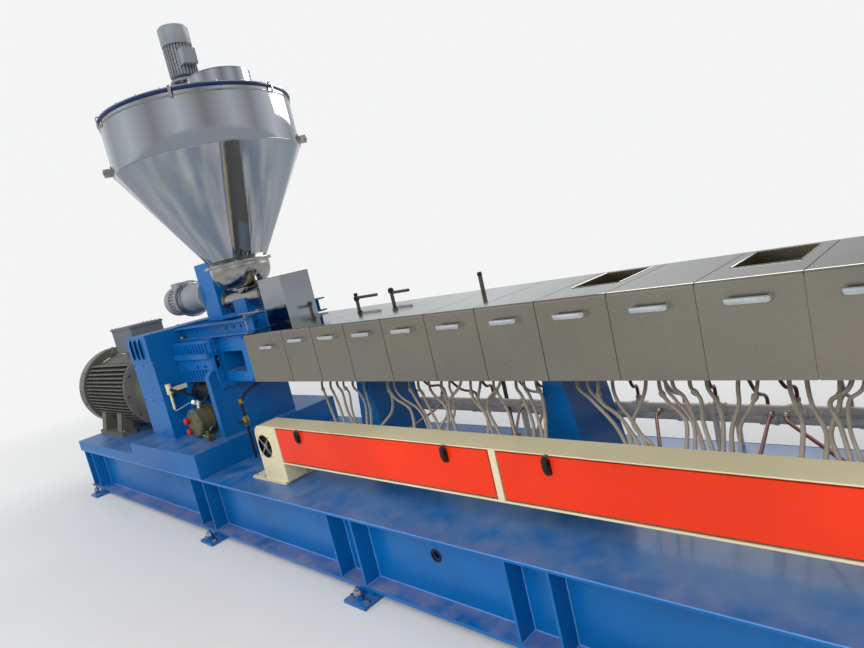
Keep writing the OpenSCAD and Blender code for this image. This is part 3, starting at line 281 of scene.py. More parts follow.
class Value:
    """A shader value: an expression on it adds the Math nodes that work it out."""

    def __init__(self, finish, socket):
        self.finish, self.socket = finish, socket

    def math(self, operation, first, second):
        return self.finish.node("Math", {"operation": operation}, {0: first, 1: second})

    def __add__(self, other):
        return self.math("ADD", self, other)

    def __mul__(self, other):
        return self.math("MULTIPLY", self, other)

    def __gt__(self, other):
        return self.math("GREATER_THAN", self, other)

    def __rsub__(self, other):
        return self.math("SUBTRACT", other, self)

    def between(self, low, high):
        """0 at low, 1 at high, held at both ends."""
        return self.finish.node("MapRange", {"clamp": True}, {0: self, 1: low, 2: high})


FINISHES = {}


class Finish:
    """A material on one Principled shader, with one method that makes every node."""

    def __init__(self, name, colour, roughness, metallic=0.0, coat=0.0):
        self.material = FINISHES[name] = bpy.data.materials.new(name)
        self.material.use_nodes = True
        self.tree = self.material.node_tree
        self.shader = self.tree.nodes["Principled BSDF"]
        self.place = self.node("TexCoord", output="Object")
        self.set("Base Color", (*colour, 1.0))
        self.set("Roughness", roughness)
        self.set("Metallic", metallic)
        self.set("Coat Weight", coat)

    def node(self, kind, settings=None, inputs=None, output=0):
        made = self.tree.nodes.new("ShaderNode" + kind)
        settings = dict(settings or {})
        stops = settings.pop("stops", None)
        for key, value in settings.items():
            setattr(made, key, value)
        if stops:
            ramp = made.color_ramp
            while len(ramp.elements) < len(stops):
                ramp.elements.new(0.5)
            for element, (place, colour) in zip(ramp.elements, stops):
                element.position, element.color = place, colour
        for key, value in (inputs or {}).items():
            self.feed(made.inputs[key], value)
        return Value(self, made.outputs[output])

    def feed(self, socket, value):
        if isinstance(value, Value):
            self.tree.links.new(value.socket, socket)
        else:
            socket.default_value = value

    def set(self, name, value):
        self.feed(self.shader.inputs[name], value)

    def noise(self, scale, detail=3.0, stretch=None, roughness=0.5):
        """Noise in object coordinates, stretched by a scale along each axis."""
        where = self.place
        if stretch:
            where = self.node("Mapping", {}, {"Vector": where, "Scale": stretch})
        return self.node("TexNoise", {}, {"Vector": where, "Scale": scale, "Detail": detail,
            "Roughness": roughness}, "Fac")

    def mix(self, share, first, second):
        """The colour first where share is 0 and second where it is 1."""
        return self.node("Mix", {"data_type": "RGBA"}, {0: share, 6: first, 7: second}, 2)

    def facing_up(self):
        """1 on surfaces that face up, 0 on the others."""
        normal = self.node("NewGeometry", output="Normal")
        return self.node("SeparateXYZ", {}, {0: normal}, "Z").between(0.4, 0.9)

    def bump(self, value, depth, strength):
        self.set("Normal", self.node("Bump", {}, {"Height": value, "Distance": depth,
            "Strength": strength}))


def linear(red, green, blue):
    """A colour written as 0 to 255 display values, as the shader's linear numbers."""
    share = np.array([red, green, blue]) / 255.0
    return tuple(np.where(share <= 0.04045, share / 12.92, ((share + 0.055) / 1.055) ** 2.4))


def toned(colour, share, lift=0.0):
    """A colour times a share plus a lift, held at 1, with its fourth number."""
    return (*[min(1, c * share + lift) for c in colour], 1)


def enamel(name, colour, roughness=0.32, dust=0.25, dust_colour=(0.42, 0.38, 0.32)):
    """Sprayed machine enamel: orange peel, slow tone changes and dust that settles on what faces up."""
    finish = Finish(name, colour, roughness, coat=0.12)
    finish.set("Coat Roughness", 0.1)
    finish.set("Specular IOR Level", 0.3)
    tone = finish.noise(1.7, 4.0).between(0.35, 0.65)
    paint = finish.mix(tone, toned(colour, 0.86), toned(colour, 1.1))
    settled = finish.facing_up() * finish.noise(9.0, 5.0).between(0.3, 0.75) * dust
    scuffs = (finish.noise(34.0, 6.0, roughness=0.7) > 0.66) * finish.noise(3.0).between(0.5, 0.7) * 0.18
    worn = finish.mix(scuffs, paint, toned(colour, 1.6, 0.05))
    finish.set("Base Color", finish.mix(settled, worn, (*dust_colour, 1)))
    finish.set("Roughness", settled * 0.5 + finish.noise(5.0, 3.0) * 0.14 + (roughness - 0.07))
    finish.bump(finish.noise(420.0, 2.0), 0.00012, 0.6)


def brushed_sheet(name, colour, roughness):
    """Stainless sheet with a grain: fine streaks drawn out along the barrel, cloudy handling marks, and
    a glossier skin on what faces up."""
    finish = Finish(name, colour, roughness, metallic=1.0)
    streaks = finish.noise(24.0, 4.0, stretch=(1.0, 60.0, 60.0), roughness=0.6)
    clouds = finish.noise(2.6, 4.0)
    shade = streaks * 0.5 + clouds * 0.5
    finish.set("Base Color", finish.mix(shade.between(0.3, 0.7), toned(colour, 0.86), toned(colour, 1.14)))
    rough = streaks * 0.16 + clouds * 0.1 + (roughness - 0.12)
    up = finish.facing_up()
    finish.set("Roughness", rough * (1 - up) + up * 0.09)
    finish.bump(streaks, 0.00002, 0.5)


def polished_sheet(name, colour, roughness):
    """Polished stainless: a near mirror with faint waves from rolling and forming."""
    finish = Finish(name, colour, roughness, metallic=1.0)
    waves = finish.noise(2.6, 0.0, stretch=(1.0, 1.0, 0.35))
    smears = finish.noise(3.5, 1.0, stretch=(1.0, 1.0, 0.2)).between(0.3, 0.9)
    finish.set("Roughness", smears * 0.05 + roughness)
    finish.set("Base Color", finish.mix(smears, toned(colour, 1), toned(colour, 0.95)))
    finish.bump(waves, 0.0012, 0.3)


def cast_paint(name, colour, roughness=0.5):
    """Painted casting: sand-cast skin under paint, darker in random stains."""
    finish = Finish(name, colour, roughness)
    skin = finish.noise(160.0, 4.0, roughness=0.65)
    stains = finish.noise(7.0, 5.0).between(0.35, 0.7)
    finish.set("Base Color", finish.mix(stains, toned(colour, 0.75), toned(colour, 1)))
    finish.set("Roughness", skin * 0.2 + (roughness - 0.1))
    finish.bump(skin, 0.0005, 0.5)


def plain_metal(name, colour, roughness, metallic=1.0, unevenness=0.12):
    """Machined or drawn metal with a little handling tone."""
    finish = Finish(name, colour, roughness, metallic=metallic)
    marks = finish.noise(60.0, 4.0)
    finish.set("Roughness", marks * unevenness + (roughness - unevenness / 2))
    tone = finish.noise(14.0).between(0.35, 0.65)
    finish.set("Base Color", finish.mix(tone, toned(colour, 0.82), toned(colour, 1)))
    finish.bump(marks, 0.00004, 0.4)


def moulded(name, colour, roughness=0.45):
    """Moulded plastic with a fine spark-eroded grain."""
    finish = Finish(name, colour, roughness)
    grain = finish.noise(900.0, 2.0)
    finish.set("Roughness", grain * 0.15 + (roughness - 0.07))
    finish.bump(grain, 0.00003, 0.5)


# The finish of each piece of the frame
WORN_BY = {
    "base_blue_enamel": "base_front_beam base_rear_beam",
    "machine_blue_enamel": "base_cross_beams base_deck base_stiffeners levelling_feet drive_pedestal "
                           "coupling_guard gearbox_case gearbox_supports open_frame feeder_rails "
                           "feeder_bracket barrel_columns",
    "cream_enamel": "valve_box valve_box_legs oil_filter",
    "orange_enamel": "door_left door_right",
    "cover_sheet": "cover_feed covers_plain cover_vent_a cover_vent_b cover_carriers",
    "polished_sheet": "hopper_shell hopper_neck hopper_lid lid_inlet feed_hood feeder_trough",
    "rim_blue": "hopper_rim", "motor_olive_grey": "main_motor", "cowl_olive": "motor_fan_cowl",
    "cable_box_grey": "drive_cable_box", "cooler_black": "oil_cooler", "pump_olive": "oil_pump",
    "gearmotor_grey": "feeder_motor stirrer_motor", "barrel_steel": "barrel die_head",
    "shaft_steel": "screw_shaft_front screw_shaft_rear cover_handles",
    "latch_black": "door_latches_left door_latches_right", "ventilator_grey": "leg_ventilator",
    "valve_brass": "valve_manifold", "tube_steel": "water_tubes", "copper": "copper_pipes",
    "galvanised": "water_mains", "post_brown": "rear_posts",
}


class ExtruderColours(bpy.types.PropertyGroup):
    """Paint and metal colours of the machine."""

    machine_blue: bpy.props.FloatVectorProperty(
        name="Machine blue", description="Enamel of the base, guard, gearbox and brackets",
        subtype="COLOR", size=3, default=linear(2, 92, 158))
    box_cream: bpy.props.FloatVectorProperty(
        name="Box cream", description="Enamel of the valve box",
        subtype="COLOR", size=3, default=linear(216, 205, 168))
    door_orange: bpy.props.FloatVectorProperty(
        name="Door orange", description="Enamel of the valve box doors",
        subtype="COLOR", size=3, default=linear(230, 50, 4))
    stainless: bpy.props.FloatVectorProperty(
        name="Stainless", description="Brushed sheet of the barrel covers",
        subtype="COLOR", size=3, default=linear(168, 159, 142))


class ExtruderSizes(bpy.types.PropertyGroup):
    """Sizes of the fittings that dress the frame."""

    tube_r: bpy.props.FloatProperty(
        name="Tube radius", description="Outer radius of the water tubes",
        subtype="DISTANCE", unit="LENGTH", default=0.0066)
    handle_bar: bpy.props.FloatProperty(
        name="Handle bar", description="Thickness of the pull handles' flat bar",
        subtype="DISTANCE", unit="LENGTH", default=0.014)


class EXTRUDER_OT_finish_frame(bpy.types.Operator):
    """Give every piece of the frame its finish"""

    bl_idname = "extruder.finish_frame"
    bl_label = "Finish the frame"

    def execute(self, context):
        tints = context.scene.extruder_colours
        enamel("machine_blue_enamel", tuple(tints.machine_blue))
        enamel("base_blue_enamel", tuple(tints.machine_blue), dust=0.85, dust_colour=(0.26, 0.22, 0.30))
        # A lighter copy of the machine blue: painted highlight on the weld beads and on the strips along
        # the deck's top edges
        enamel("highlight_blue_enamel", tuple(c * 1.5 + 0.09 for c in tints.machine_blue), 0.28, 0.0)
        enamel("cream_enamel", tuple(tints.box_cream), 0.3, 0.1)
        enamel("orange_enamel", tuple(tints.door_orange), 0.3, 0.05)
        enamel("rim_blue", linear(24, 38, 84), 0.25, 0.1)
        enamel("cowl_olive", linear(78, 77, 66), 0.4, 0.3)
        enamel("cable_box_grey", linear(86, 92, 94), 0.5, 0.4)
        enamel("cooler_black", linear(26, 30, 30), 0.3, 0.2)
        enamel("post_brown", linear(78, 70, 60), 0.5)
        brushed_sheet("cover_sheet", tuple(tints.stainless), 0.27)
        polished_sheet("polished_sheet", linear(186, 188, 190), 0.07)
        polished_sheet("bowl_sheet", linear(186, 180, 170), 0.12)
        cast_paint("motor_olive_grey", linear(98, 96, 86))
        cast_paint("pump_olive", linear(96, 92, 64))
        cast_paint("gearmotor_grey", linear(138, 144, 148), 0.4)
        cast_paint("dark_iron", linear(44, 44, 42), 0.55)
        plain_metal("barrel_steel", linear(96, 92, 88), 0.42)
        plain_metal("shaft_steel", linear(190, 188, 182), 0.22)
        plain_metal("ventilator_grey", linear(170, 170, 166), 0.4)
        plain_metal("valve_brass", linear(186, 158, 92), 0.32)
        plain_metal("tube_steel", linear(168, 156, 142), 0.42, 0.35)
        plain_metal("copper", linear(128, 66, 42), 0.42, 0.6)
        plain_metal("galvanised", linear(214, 204, 194), 0.5, 0.0)
        plain_metal("bright_steel", linear(205, 203, 198), 0.26)
        plain_metal("handle_chrome", linear(244, 243, 240), 0.26, unevenness=0.05)
        moulded("latch_black", linear(22, 22, 24))
        moulded("red_plastic", linear(190, 24, 18), 0.35)
        moulded("white_plastic", linear(228, 228, 222), 0.4)
        moulded("black_rubber", linear(26, 26, 26), 0.6)
        for finish, nodes in WORN_BY.items():
            for node in nodes.split():
                data = NODES[node].data
                data.materials.clear()
                data.materials.append(FINISHES[finish])
        return {"FINISHED"}


# Courses of the formed tubes: x at the barrel, then 110, 60 and -20 mm behind the covers' front, and at
# the valve box
TUBES = np.array([
    (90, 100, 180, 315, 440), (165, 175, 255, 390, 510), (225, 240, 330, 465, 585),
    (300, 305, 390, 505, 600), (372, 388, 490, 610, 690), (512, 480, 545, 650, 720),
    (640, 655, 745, 810, 795), (655, 670, 765, 930, 1020), (700, 720, 810, 990, 1105),
    (815, 830, 895, 1035, 1130), (870, 885, 950, 1070, 1175), (930, 955, 1015, 1165, 1220),
    (1040, 1040, 1095, 1170, 1160), (1090, 1095, 1140, 1210, 1205), (1175, 1160, 1135, 1180, 1270),
    (1200, 1215, 1270, 1385, 1435), (1262, 1270, 1295, 1390, 1460), (1395, 1380, 1350, 1395, 1495),
    (1345, 1350, 1410, 1500, 1565), (1455, 1465, 1515, 1610, 1655), (1490, 1500, 1550, 1630, 1690),
    (1545, 1560, 1610, 1665, 1705), (1745, 1750, 1820, 1945, 2010), (1785, 1795, 1860, 1980, 2034),
    (1830, 1835, 1870, 1965, 2058), (1885, 1890, 1935, 2015, 2082), (2015, 2015, 2015, 2015, 2106),
    (2060, 2065, 2105, 2185, 2205), (2085, 2088, 2128, 2208, 2232), (2110, 2110, 2160, 2222, 2258),
    (2165, 2165, 2210, 2240, 2282), (2215, 2220, 2260, 2296, 2312), (2325, 2315, 2325, 2322, 2336),
    (2375, 2370, 2360, 2345, 2360), (2450, 2455, 2480, 2505, 2510), (2495, 2500, 2520, 2560, 2565),
    (2585, 2580, 2582, 2570, 2596), (2622, 2605, 2560, 2592, 2620), (2640, 2636, 2604, 2614, 2644),
    (2770, 2765, 2745, 2700, 2690), (2795, 2790, 2785, 2765, 2740), (2815, 2812, 2810, 2805, 2790),
], float)
TUBE_Y = np.array([168, 110, 60, -20, -92.0])
TUBE_Z = np.array([966, 850, 808, 765, 712.0])
# Lines behind the barrel: from x under it to x at a water main, and which main
REAR_LINES = ((120, 90, 0), (330, 300, 1), (560, 590, 0), (760, 730, 1), (1010, 960, 0), (1210, 1175, 1),
              (1330, 1300, 0), (1460, 1500, 1), (1800, 1760, 0), (1925, 1900, 1), (2110, 2080, 0),
              (2235, 2225, 1), (2330, 2360, 0), (2520, 2500, 1), (2600, 2640, 0))
# Lines from a water main forward to the valve box: x at the main and x at the box
RETURN_LINES = ((620, 840), (1170, 1515), (1310, 1600), (1860, 2105), (2280, 2380), (2330, 2665))
MAIN_Y, MAIN_Z, MAIN_R = (545, 665), (600, 520), 21
# Places in millimetres that several operators share
COVER_W, BARREL_Y, BARREL_Z, DECK_Z = 284, 275, 1050, 395
BOX_FRONT, BOX_BACK, FAN_Z = -240, -115, 603
VENT_X, COLUMN_X, HOPPER = (1846, 2414), (448, 1630, 2700), (-735, 275)
STIFFENER_X = (-2970, -1990, -785, 685, 1719, 3220)
FOOT_SHIFT, BASE_FRONT, BASE_REAR = 75, -388, 700
LATCH_X = {"door_left": (302, 1327), "door_right": (1796, 2821)}


class EXTRUDER_OT_water_lines(bpy.types.Operator):
    """Formed tubes in front of the barrel, copper lines behind it, and their fittings"""

    bl_idname = "extruder.water_lines"
    bl_label = "Water lines"

    def execute(self, context):
        radius = context.scene.extruder_sizes.tube_r / MM
        tubes, copper, nuts = Shell(), Shell(), Shell()
        nut = lathe([(radius + 0.4, -9), (radius + 4, -8), (radius + 4, 3), (radius + 2, 4),
            (radius + 2, 11), (radius + 0.4, 12)], 12)
        wave = np.sin(np.arange(len(TUBES))[:, None] * (2.1, 1.3, 0.7, 1.9, 2.6))
        heights = TUBE_Z + wave * (0, 0, 9, 11, 0)
        depths = TUBE_Y + wave * (16, 5, 9, 7, 2)
        for k, (x, y, z) in enumerate(zip(TUBES, depths, heights)):
            x, y, z = (np.append(row, last) for row, last in ((x, (x[-1], x[-1])),
                (y, (-100, BOX_BACK + 1)), (z, (684, 664))))
            line = curve(at(x, y, z), 6)
            tubes.join(pipe(line, radius * (0.85 if k % 5 == 3 else 1.0)))
            spots = [4, 26] if k % 3 else [9, 26]
            nuts.repeat(nut, line[spots], line[[i + 1 for i in spots]] - line[spots])
        for k, (x, x_main, main) in enumerate(REAR_LINES):
            y, z = MAIN_Y[main], MAIN_Z[main]
            line = curve(at([x, x, (x + x_main) / 2, x_main, x_main],
                [380 - 26 * (k % 3), 382, (390 + y) / 2, y, y],
                [964, 870, (z + 930) / 2 - 40, z + 90, z + MAIN_R - 4]), 6)
            (tubes if k % 4 == 1 else copper).join(pipe(line, radius + 0.5))
            nuts.repeat(nut, line[[2, -3]], line[[3, -2]] - line[[2, -3]], 1.1)
        for x_main, x_box in RETURN_LINES:
            line = bent(at([x_main, x_main, x_box, x_box], [MAIN_Y[0] - MAIN_R + 4, 470, -60, BOX_BACK + 1],
                [MAIN_Z[0], MAIN_Z[0] - 6, 640, 640]), 45)
            copper.join(pipe(line, radius, (0, 0, 1)))
            nuts.repeat(nut, line[[2, -3]], line[[3, -2]] - line[[2, -3]], 1.1)
        make("formed_tubes", tubes, "tube_steel", replaces=("water_tubes",))
        make("copper_lines", copper, "copper", replaces=("copper_pipes",))
        make("compression_nuts", nuts, "tube_steel")
        return {"FINISHED"}


class EXTRUDER_OT_main_fittings(bpy.types.Operator):
    """Tees, end flanges and saddles of the two water mains"""

    bl_idname = "extruder.main_fittings"
    bl_label = "Main fittings"

    def execute(self, context):
        shell = Shell()
        sleeve = lathe([(22, -34), (26, -33), (27, -20), (24, -18), (24, 18), (27, 20), (26, 33), (22, 34)],
            24)
        flange = lathe([(22, -8), (46, -8), (47, -7), (47, 7), (46, 8), (22, 8)], 32)
        branch = lathe([(9, 0), (15, 0), (15, 26), (12, 30), (12, 40), (9, 41)], 16)
        for main, (y, z) in enumerate(zip(MAIN_Y, MAIN_Z)):
            tees = [row[1] for row in REAR_LINES if row[2] == main]
            shell.repeat(sleeve, at(tees, y, z), RIGHT)
            shell.repeat(branch, at(tees, y, z))
            joints = np.array([66, 78, 1380, 1396, 2798, 2812])
            shell.repeat(flange, at(joints, y, z), RIGHT)
            bolts = np.concatenate([circle_places(at(x, y, z), RIGHT, 36, 6) for x in (1404, 2820)])
            shell.repeat(BOLT, bolts, RIGHT, 0.5)
            for x in np.array([200, 1130, 2060, 2700]) + 40 * main:
                strap = bent(at([x + 6] * 4, [y - 24, y - 24, y + 24, y + 24],
                    [z - 24, z + 24, z + 24, z - 24]), 20)
                shell.join(pipe(strap, 2.5, (1, 0, 0), 8, 8, 0.5))
        make("main_fittings", shell, "galvanised")
        return {"FINISHED"}


class EXTRUDER_OT_pull_handles(bpy.types.Operator):
    """Chromed bow handles on the covers"""

    bl_idname = "extruder.pull_handles"
    bl_label = "Pull handles"

    def execute(self, context):
        bar = context.scene.extruder_sizes.handle_bar / MM
        half, out = 57.5, 30 - bar / 2
        shell = Shell()
        places = [(-172, 1114)] + [((i + 0.5) * COVER_W, 1140) for i in range(10)]
        for x, z in places:
            line = bent(at([x - half, x - half, x + half, x + half], [0.5, -out, -out, 0.5], [z] * 4), 9)
            shell.join(pipe(line, bar / 2, (0, 0, 1), 16, 10.4, 0.55))
        make("pull_handles", shell, "handle_chrome", replaces=("cover_handles",))
        return {"FINISHED"}


class EXTRUDER_OT_cover_hems(bpy.types.Operator):
    """Folded hems behind the joints of the barrel covers, and the frames of the vent openings"""

    bl_idname = "extruder.cover_hems"
    bl_label = "Cover hems"

    def execute(self, context):
        hems = Shell()
        for k in range(11):
            x = COVER_W * k if k < 10 else 2834
            for y0, y1 in ((3.2, 5.6), (544.4, 546.8)):
                hems.join(block((x - 11, y0, 901.5), (x + 11, y1, 1031), 1, 1.5, 0.6))
        # A rolled frame round each vent opening, and the flange of the barrel's vent inside it
        for x in VENT_X:
            frame_line = at([x - 97, x + 97, x + 97, x - 97, x - 97], [203, 203, 497, 497, 203], 1201.2)
            for start, end in zip(frame_line[:-1], frame_line[1:]):
                hems.join(pipe(np.linspace(start, end, 2), 2.4, (0, 0, 1), 8))
            hems.repeat(lathe([(52, 0), (82, 0), (84, 2), (84, 12), (82, 14), (56, 14), (54, 10), (52, 10)],
                40, True), at(x, BARREL_Y, 1139))
            hems.repeat(BOLT, circle_places(at(x, BARREL_Y, 1153), UP, 69, 6), None, 0.7)
        make("cover_hems", hems, "cover_sheet")
        return {"FINISHED"}


class EXTRUDER_OT_door_latches(bpy.types.Operator):
    """Draw latches on the doors and their keepers on the valve box"""

    bl_idname = "extruder.door_latches"
    bl_label = "Door latches"

    def execute(self, context):
        keepers = Shell()
        for body, spots in LATCH_X.items():
            shell = Shell()
            for x in spots:
                shell.join(block((x - 13, -242.5, 650), (x + 13, -240, 712), 1, 8, 0.8))
                lever = curve(at([x] * 6, [-248, -252, -257, -258.5, -257, -250],
                    [655, 662, 676, 692, 708, 719]), 4)
                wide = np.interp(np.arange(len(lever)), [0, 3, 16, len(lever) - 1], [5, 10.5, 11, 8])
                shell.join(pipe(lever, wide, (0, 1, 0), 14, 5.0, 0.7))
                shell.join(block((x - 12, -256, 664), (x - 8.5, -241, 690), 0, 3, 0.5),
                    block((x + 8.5, -256, 664), (x + 12, -241, 690), 0, 3, 0.5))
                shell.repeat(lathe([(3, -14), (4.2, -13.6), (4.2, 13.6), (3, 14)], 12), at(x, -251, 684),
                    RIGHT)
                rivets = at([x - 8, x + 8, x, x], -242.4, [656, 656, 706, 660])
                shell.repeat(lathe([(0.6, 1.8), (2, 1.5), (3, 0)], 10), rivets, FRONT)
                keepers.join(block((x - 11, -241.6, 716.5), (x + 11, -240, 724), 1, 2, 0.5))
                hook = bent(at([x - 7, x - 7, x + 7, x + 7], [-244, -247, -247, -244],
                    [706, 722.2, 722.2, 706]), 4)
                keepers.join(pipe(hook, 1.3, (0, 1, 0), 8))
            make("draw_latch_" + body[5:], shell, "latch_black", body,
                ("door_latches_" + body[5:],))
        make("latch_keepers", keepers, "bright_steel")
        return {"FINISHED"}


class EXTRUDER_OT_ventilators(bpy.types.Operator):
    """Axial fans behind the round openings of the valve box legs"""

    bl_idname = "extruder.ventilators"
    bl_label = "Ventilators"

    def execute(self, context):
        dark, bright = Shell(), Shell()
        for x in (-70, 3193):
            middle = at(x, BOX_FRONT, FAN_Z)
            dark.repeat(lathe([(62, 3), (66, 2), (72, 2.6), (72, 27), (62, 27)], 56, True), middle, REAR)
            dark.repeat(lathe([(1, 8), (20, 8.4), (23, 11), (23, 26), (1, 27)], 32), middle, REAR)
            # A petal: radius runs from hub to ring, and its angle and depth both turn with the chord
            r, c = np.meshgrid(np.linspace(20, 60, 7), np.linspace(0, 1, 8), indexing="ij")
            for k in range(5):
                a = k * TURN / 5 + 0.95 * c + 0.012 * (r - 20)
                front = at(x + r * np.cos(a), BOX_FRONT + 12 + 9 * c, FAN_Z + r * np.sin(a))
                dark.skin(np.concatenate([front, front[:, ::-1] + (0, 0.0015, 0)], 1))
            for k in range(4):
                a = TURN / 8 + k * TURN / 4
                run = np.linspace(8, 67, 8)
                arm = at(x + run * np.cos(a), -238, FAN_Z + run * np.sin(a))
                bright.join(pipe(arm, np.linspace(5.5, 3.4, 8), (0, 1, 0), 10, 2.0, 0.6))
            bright.repeat(lathe([(1, 4.5), (9, 4.2), (15, 2), (17, -1.5), (1, -1.5)], 28),
                at(x, -237, FAN_Z), FRONT)
            screws = circle_places(middle, REAR, 78, 4, TURN / 8)
            bright.repeat(lathe([(0.6, 2.6), (3, 2.2), (4.4, 0.4), (4.4, -0.3)], 12), screws, FRONT)
        make("fan_housings", dark, "latch_black")
        make("fan_crosses", bright, "bright_steel", replaces=("leg_ventilator",))
        return {"FINISHED"}


class EXTRUDER_OT_main_motor_fittings(bpy.types.Operator):
    """Fan cowl with its wire grille and fan, lifting eyes, bearing cap and cable glands"""

    bl_idname = "extruder.main_motor_fittings"
    bl_label = "Main motor fittings"

    def execute(self, context):
        # The outer end of the fan cowl, on the motor's axis, and its drive end
        x0, y, z = -3390, 156, 827
        drive_x = -2250
        cowl = Shell().repeat(lathe([(296, 200), (362, 200), (368, 194), (368, 60), (362, 38), (344, 12),
            (322, 3), (306, 2), (306, 6), (320, 8), (340, 17), (355, 42), (361, 62), (361, 190),
            (296, 192)], 96, True), at(x0, y, z), RIGHT)
        cowl.repeat(lathe([(4, -2), (11, -1.4), (11, 1.4), (4, 2)], 10),
            circle_places(at(x0 + 150, y, z), RIGHT, 366.5, 8, 0.2), RIGHT, 0.8)
        make("motor_cowl_shell", cowl, "cowl_olive", replaces=("motor_fan_cowl",))
        grille = Shell()
        for ring in range(60, 306, 18):
            grille.repeat(hoop(ring, 2.2, 72, 6), at(x0 + 7, y, z), RIGHT)
        for k in range(8):
            a = k * TURN / 8 + 0.2
            run = np.linspace(48, 307, 3)
            grille.join(pipe(at(x0 + 9.5, y + run * np.cos(a), z + run * np.sin(a)), 2.8, (1, 0, 0), 6))
        grille.repeat(lathe([(1, 3), (48, 3), (50, 5), (50, 9), (1, 11)], 40), at(x0, y, z), RIGHT)
        hub = lathe([(1, 60), (90, 60), (100, 70), (100, 150), (1, 150)], 48)
        fan = Shell().repeat(hub, at(x0, y, z), RIGHT)
        blade_r, chord = np.meshgrid(np.linspace(95, 290, 6), np.linspace(0, 1, 6), indexing="ij")
        for k in range(9):
            a = k * TURN / 9 + 0.34 * chord
            front = at(x0 + 70 + 60 * chord, y + blade_r * np.cos(a), z + blade_r * np.sin(a))
            fan.skin(np.concatenate([front, front[:, ::-1] + (0.004, 0, 0)], 1))
        make("motor_cowl_grille", grille, "cowl_olive")
        make("motor_cooling_fan", fan, "dark_iron")
        body, bright = Shell(), Shell()
        for x in (-2950, -2440):
            body.repeat(lathe([(1, 0), (24, 0), (24, 10), (16, 14), (1, 14)], 24), at(x, y - 100, z + 336))
            body.repeat(hoop(20, 6, 28, 10), at(x, y - 100, z + 366), REAR)
        bright.repeat(BOLT, circle_places(at(drive_x + 36, y, z), RIGHT, 322, 12), RIGHT, 1.1)
        body.repeat(lathe([(50, 168), (118, 168), (122, 172), (122, 186), (112, 196), (54, 200), (50, 196)],
            48, True), at(drive_x, y, z), RIGHT)
        bright.repeat(BOLT, circle_places(at(drive_x + 193, y, z), RIGHT, 92, 8), RIGHT, 0.8)
        for s in (-1, 1):
            spots = at([-3100, -3062, -2618, -2580], y + s * 318, 506)
            bright.repeat(BOLT, spots, None, 1.5)
        box = at(np.linspace(-2700, -2325, 5), y - 134, 1377)
        bright.repeat(SOCKET_SCREW, np.concatenate([box, box + (0, 0.268, 0)]) - (0, 0, 0.003), None, 0.8)
        gland = lathe([(20, -2), (27, -1), (27, 9), (23, 11), (23, 20), (17, 30), (15, 30), (15, 10)], 6)
        for dy in (-70, 0, 70):
            body.repeat(gland, at(-2285, y + dy, 1230), RIGHT)
        make("motor_fittings", body, "motor_olive_grey")
        make("motor_bolts", bright, "bright_steel")
        return {"FINISHED"}


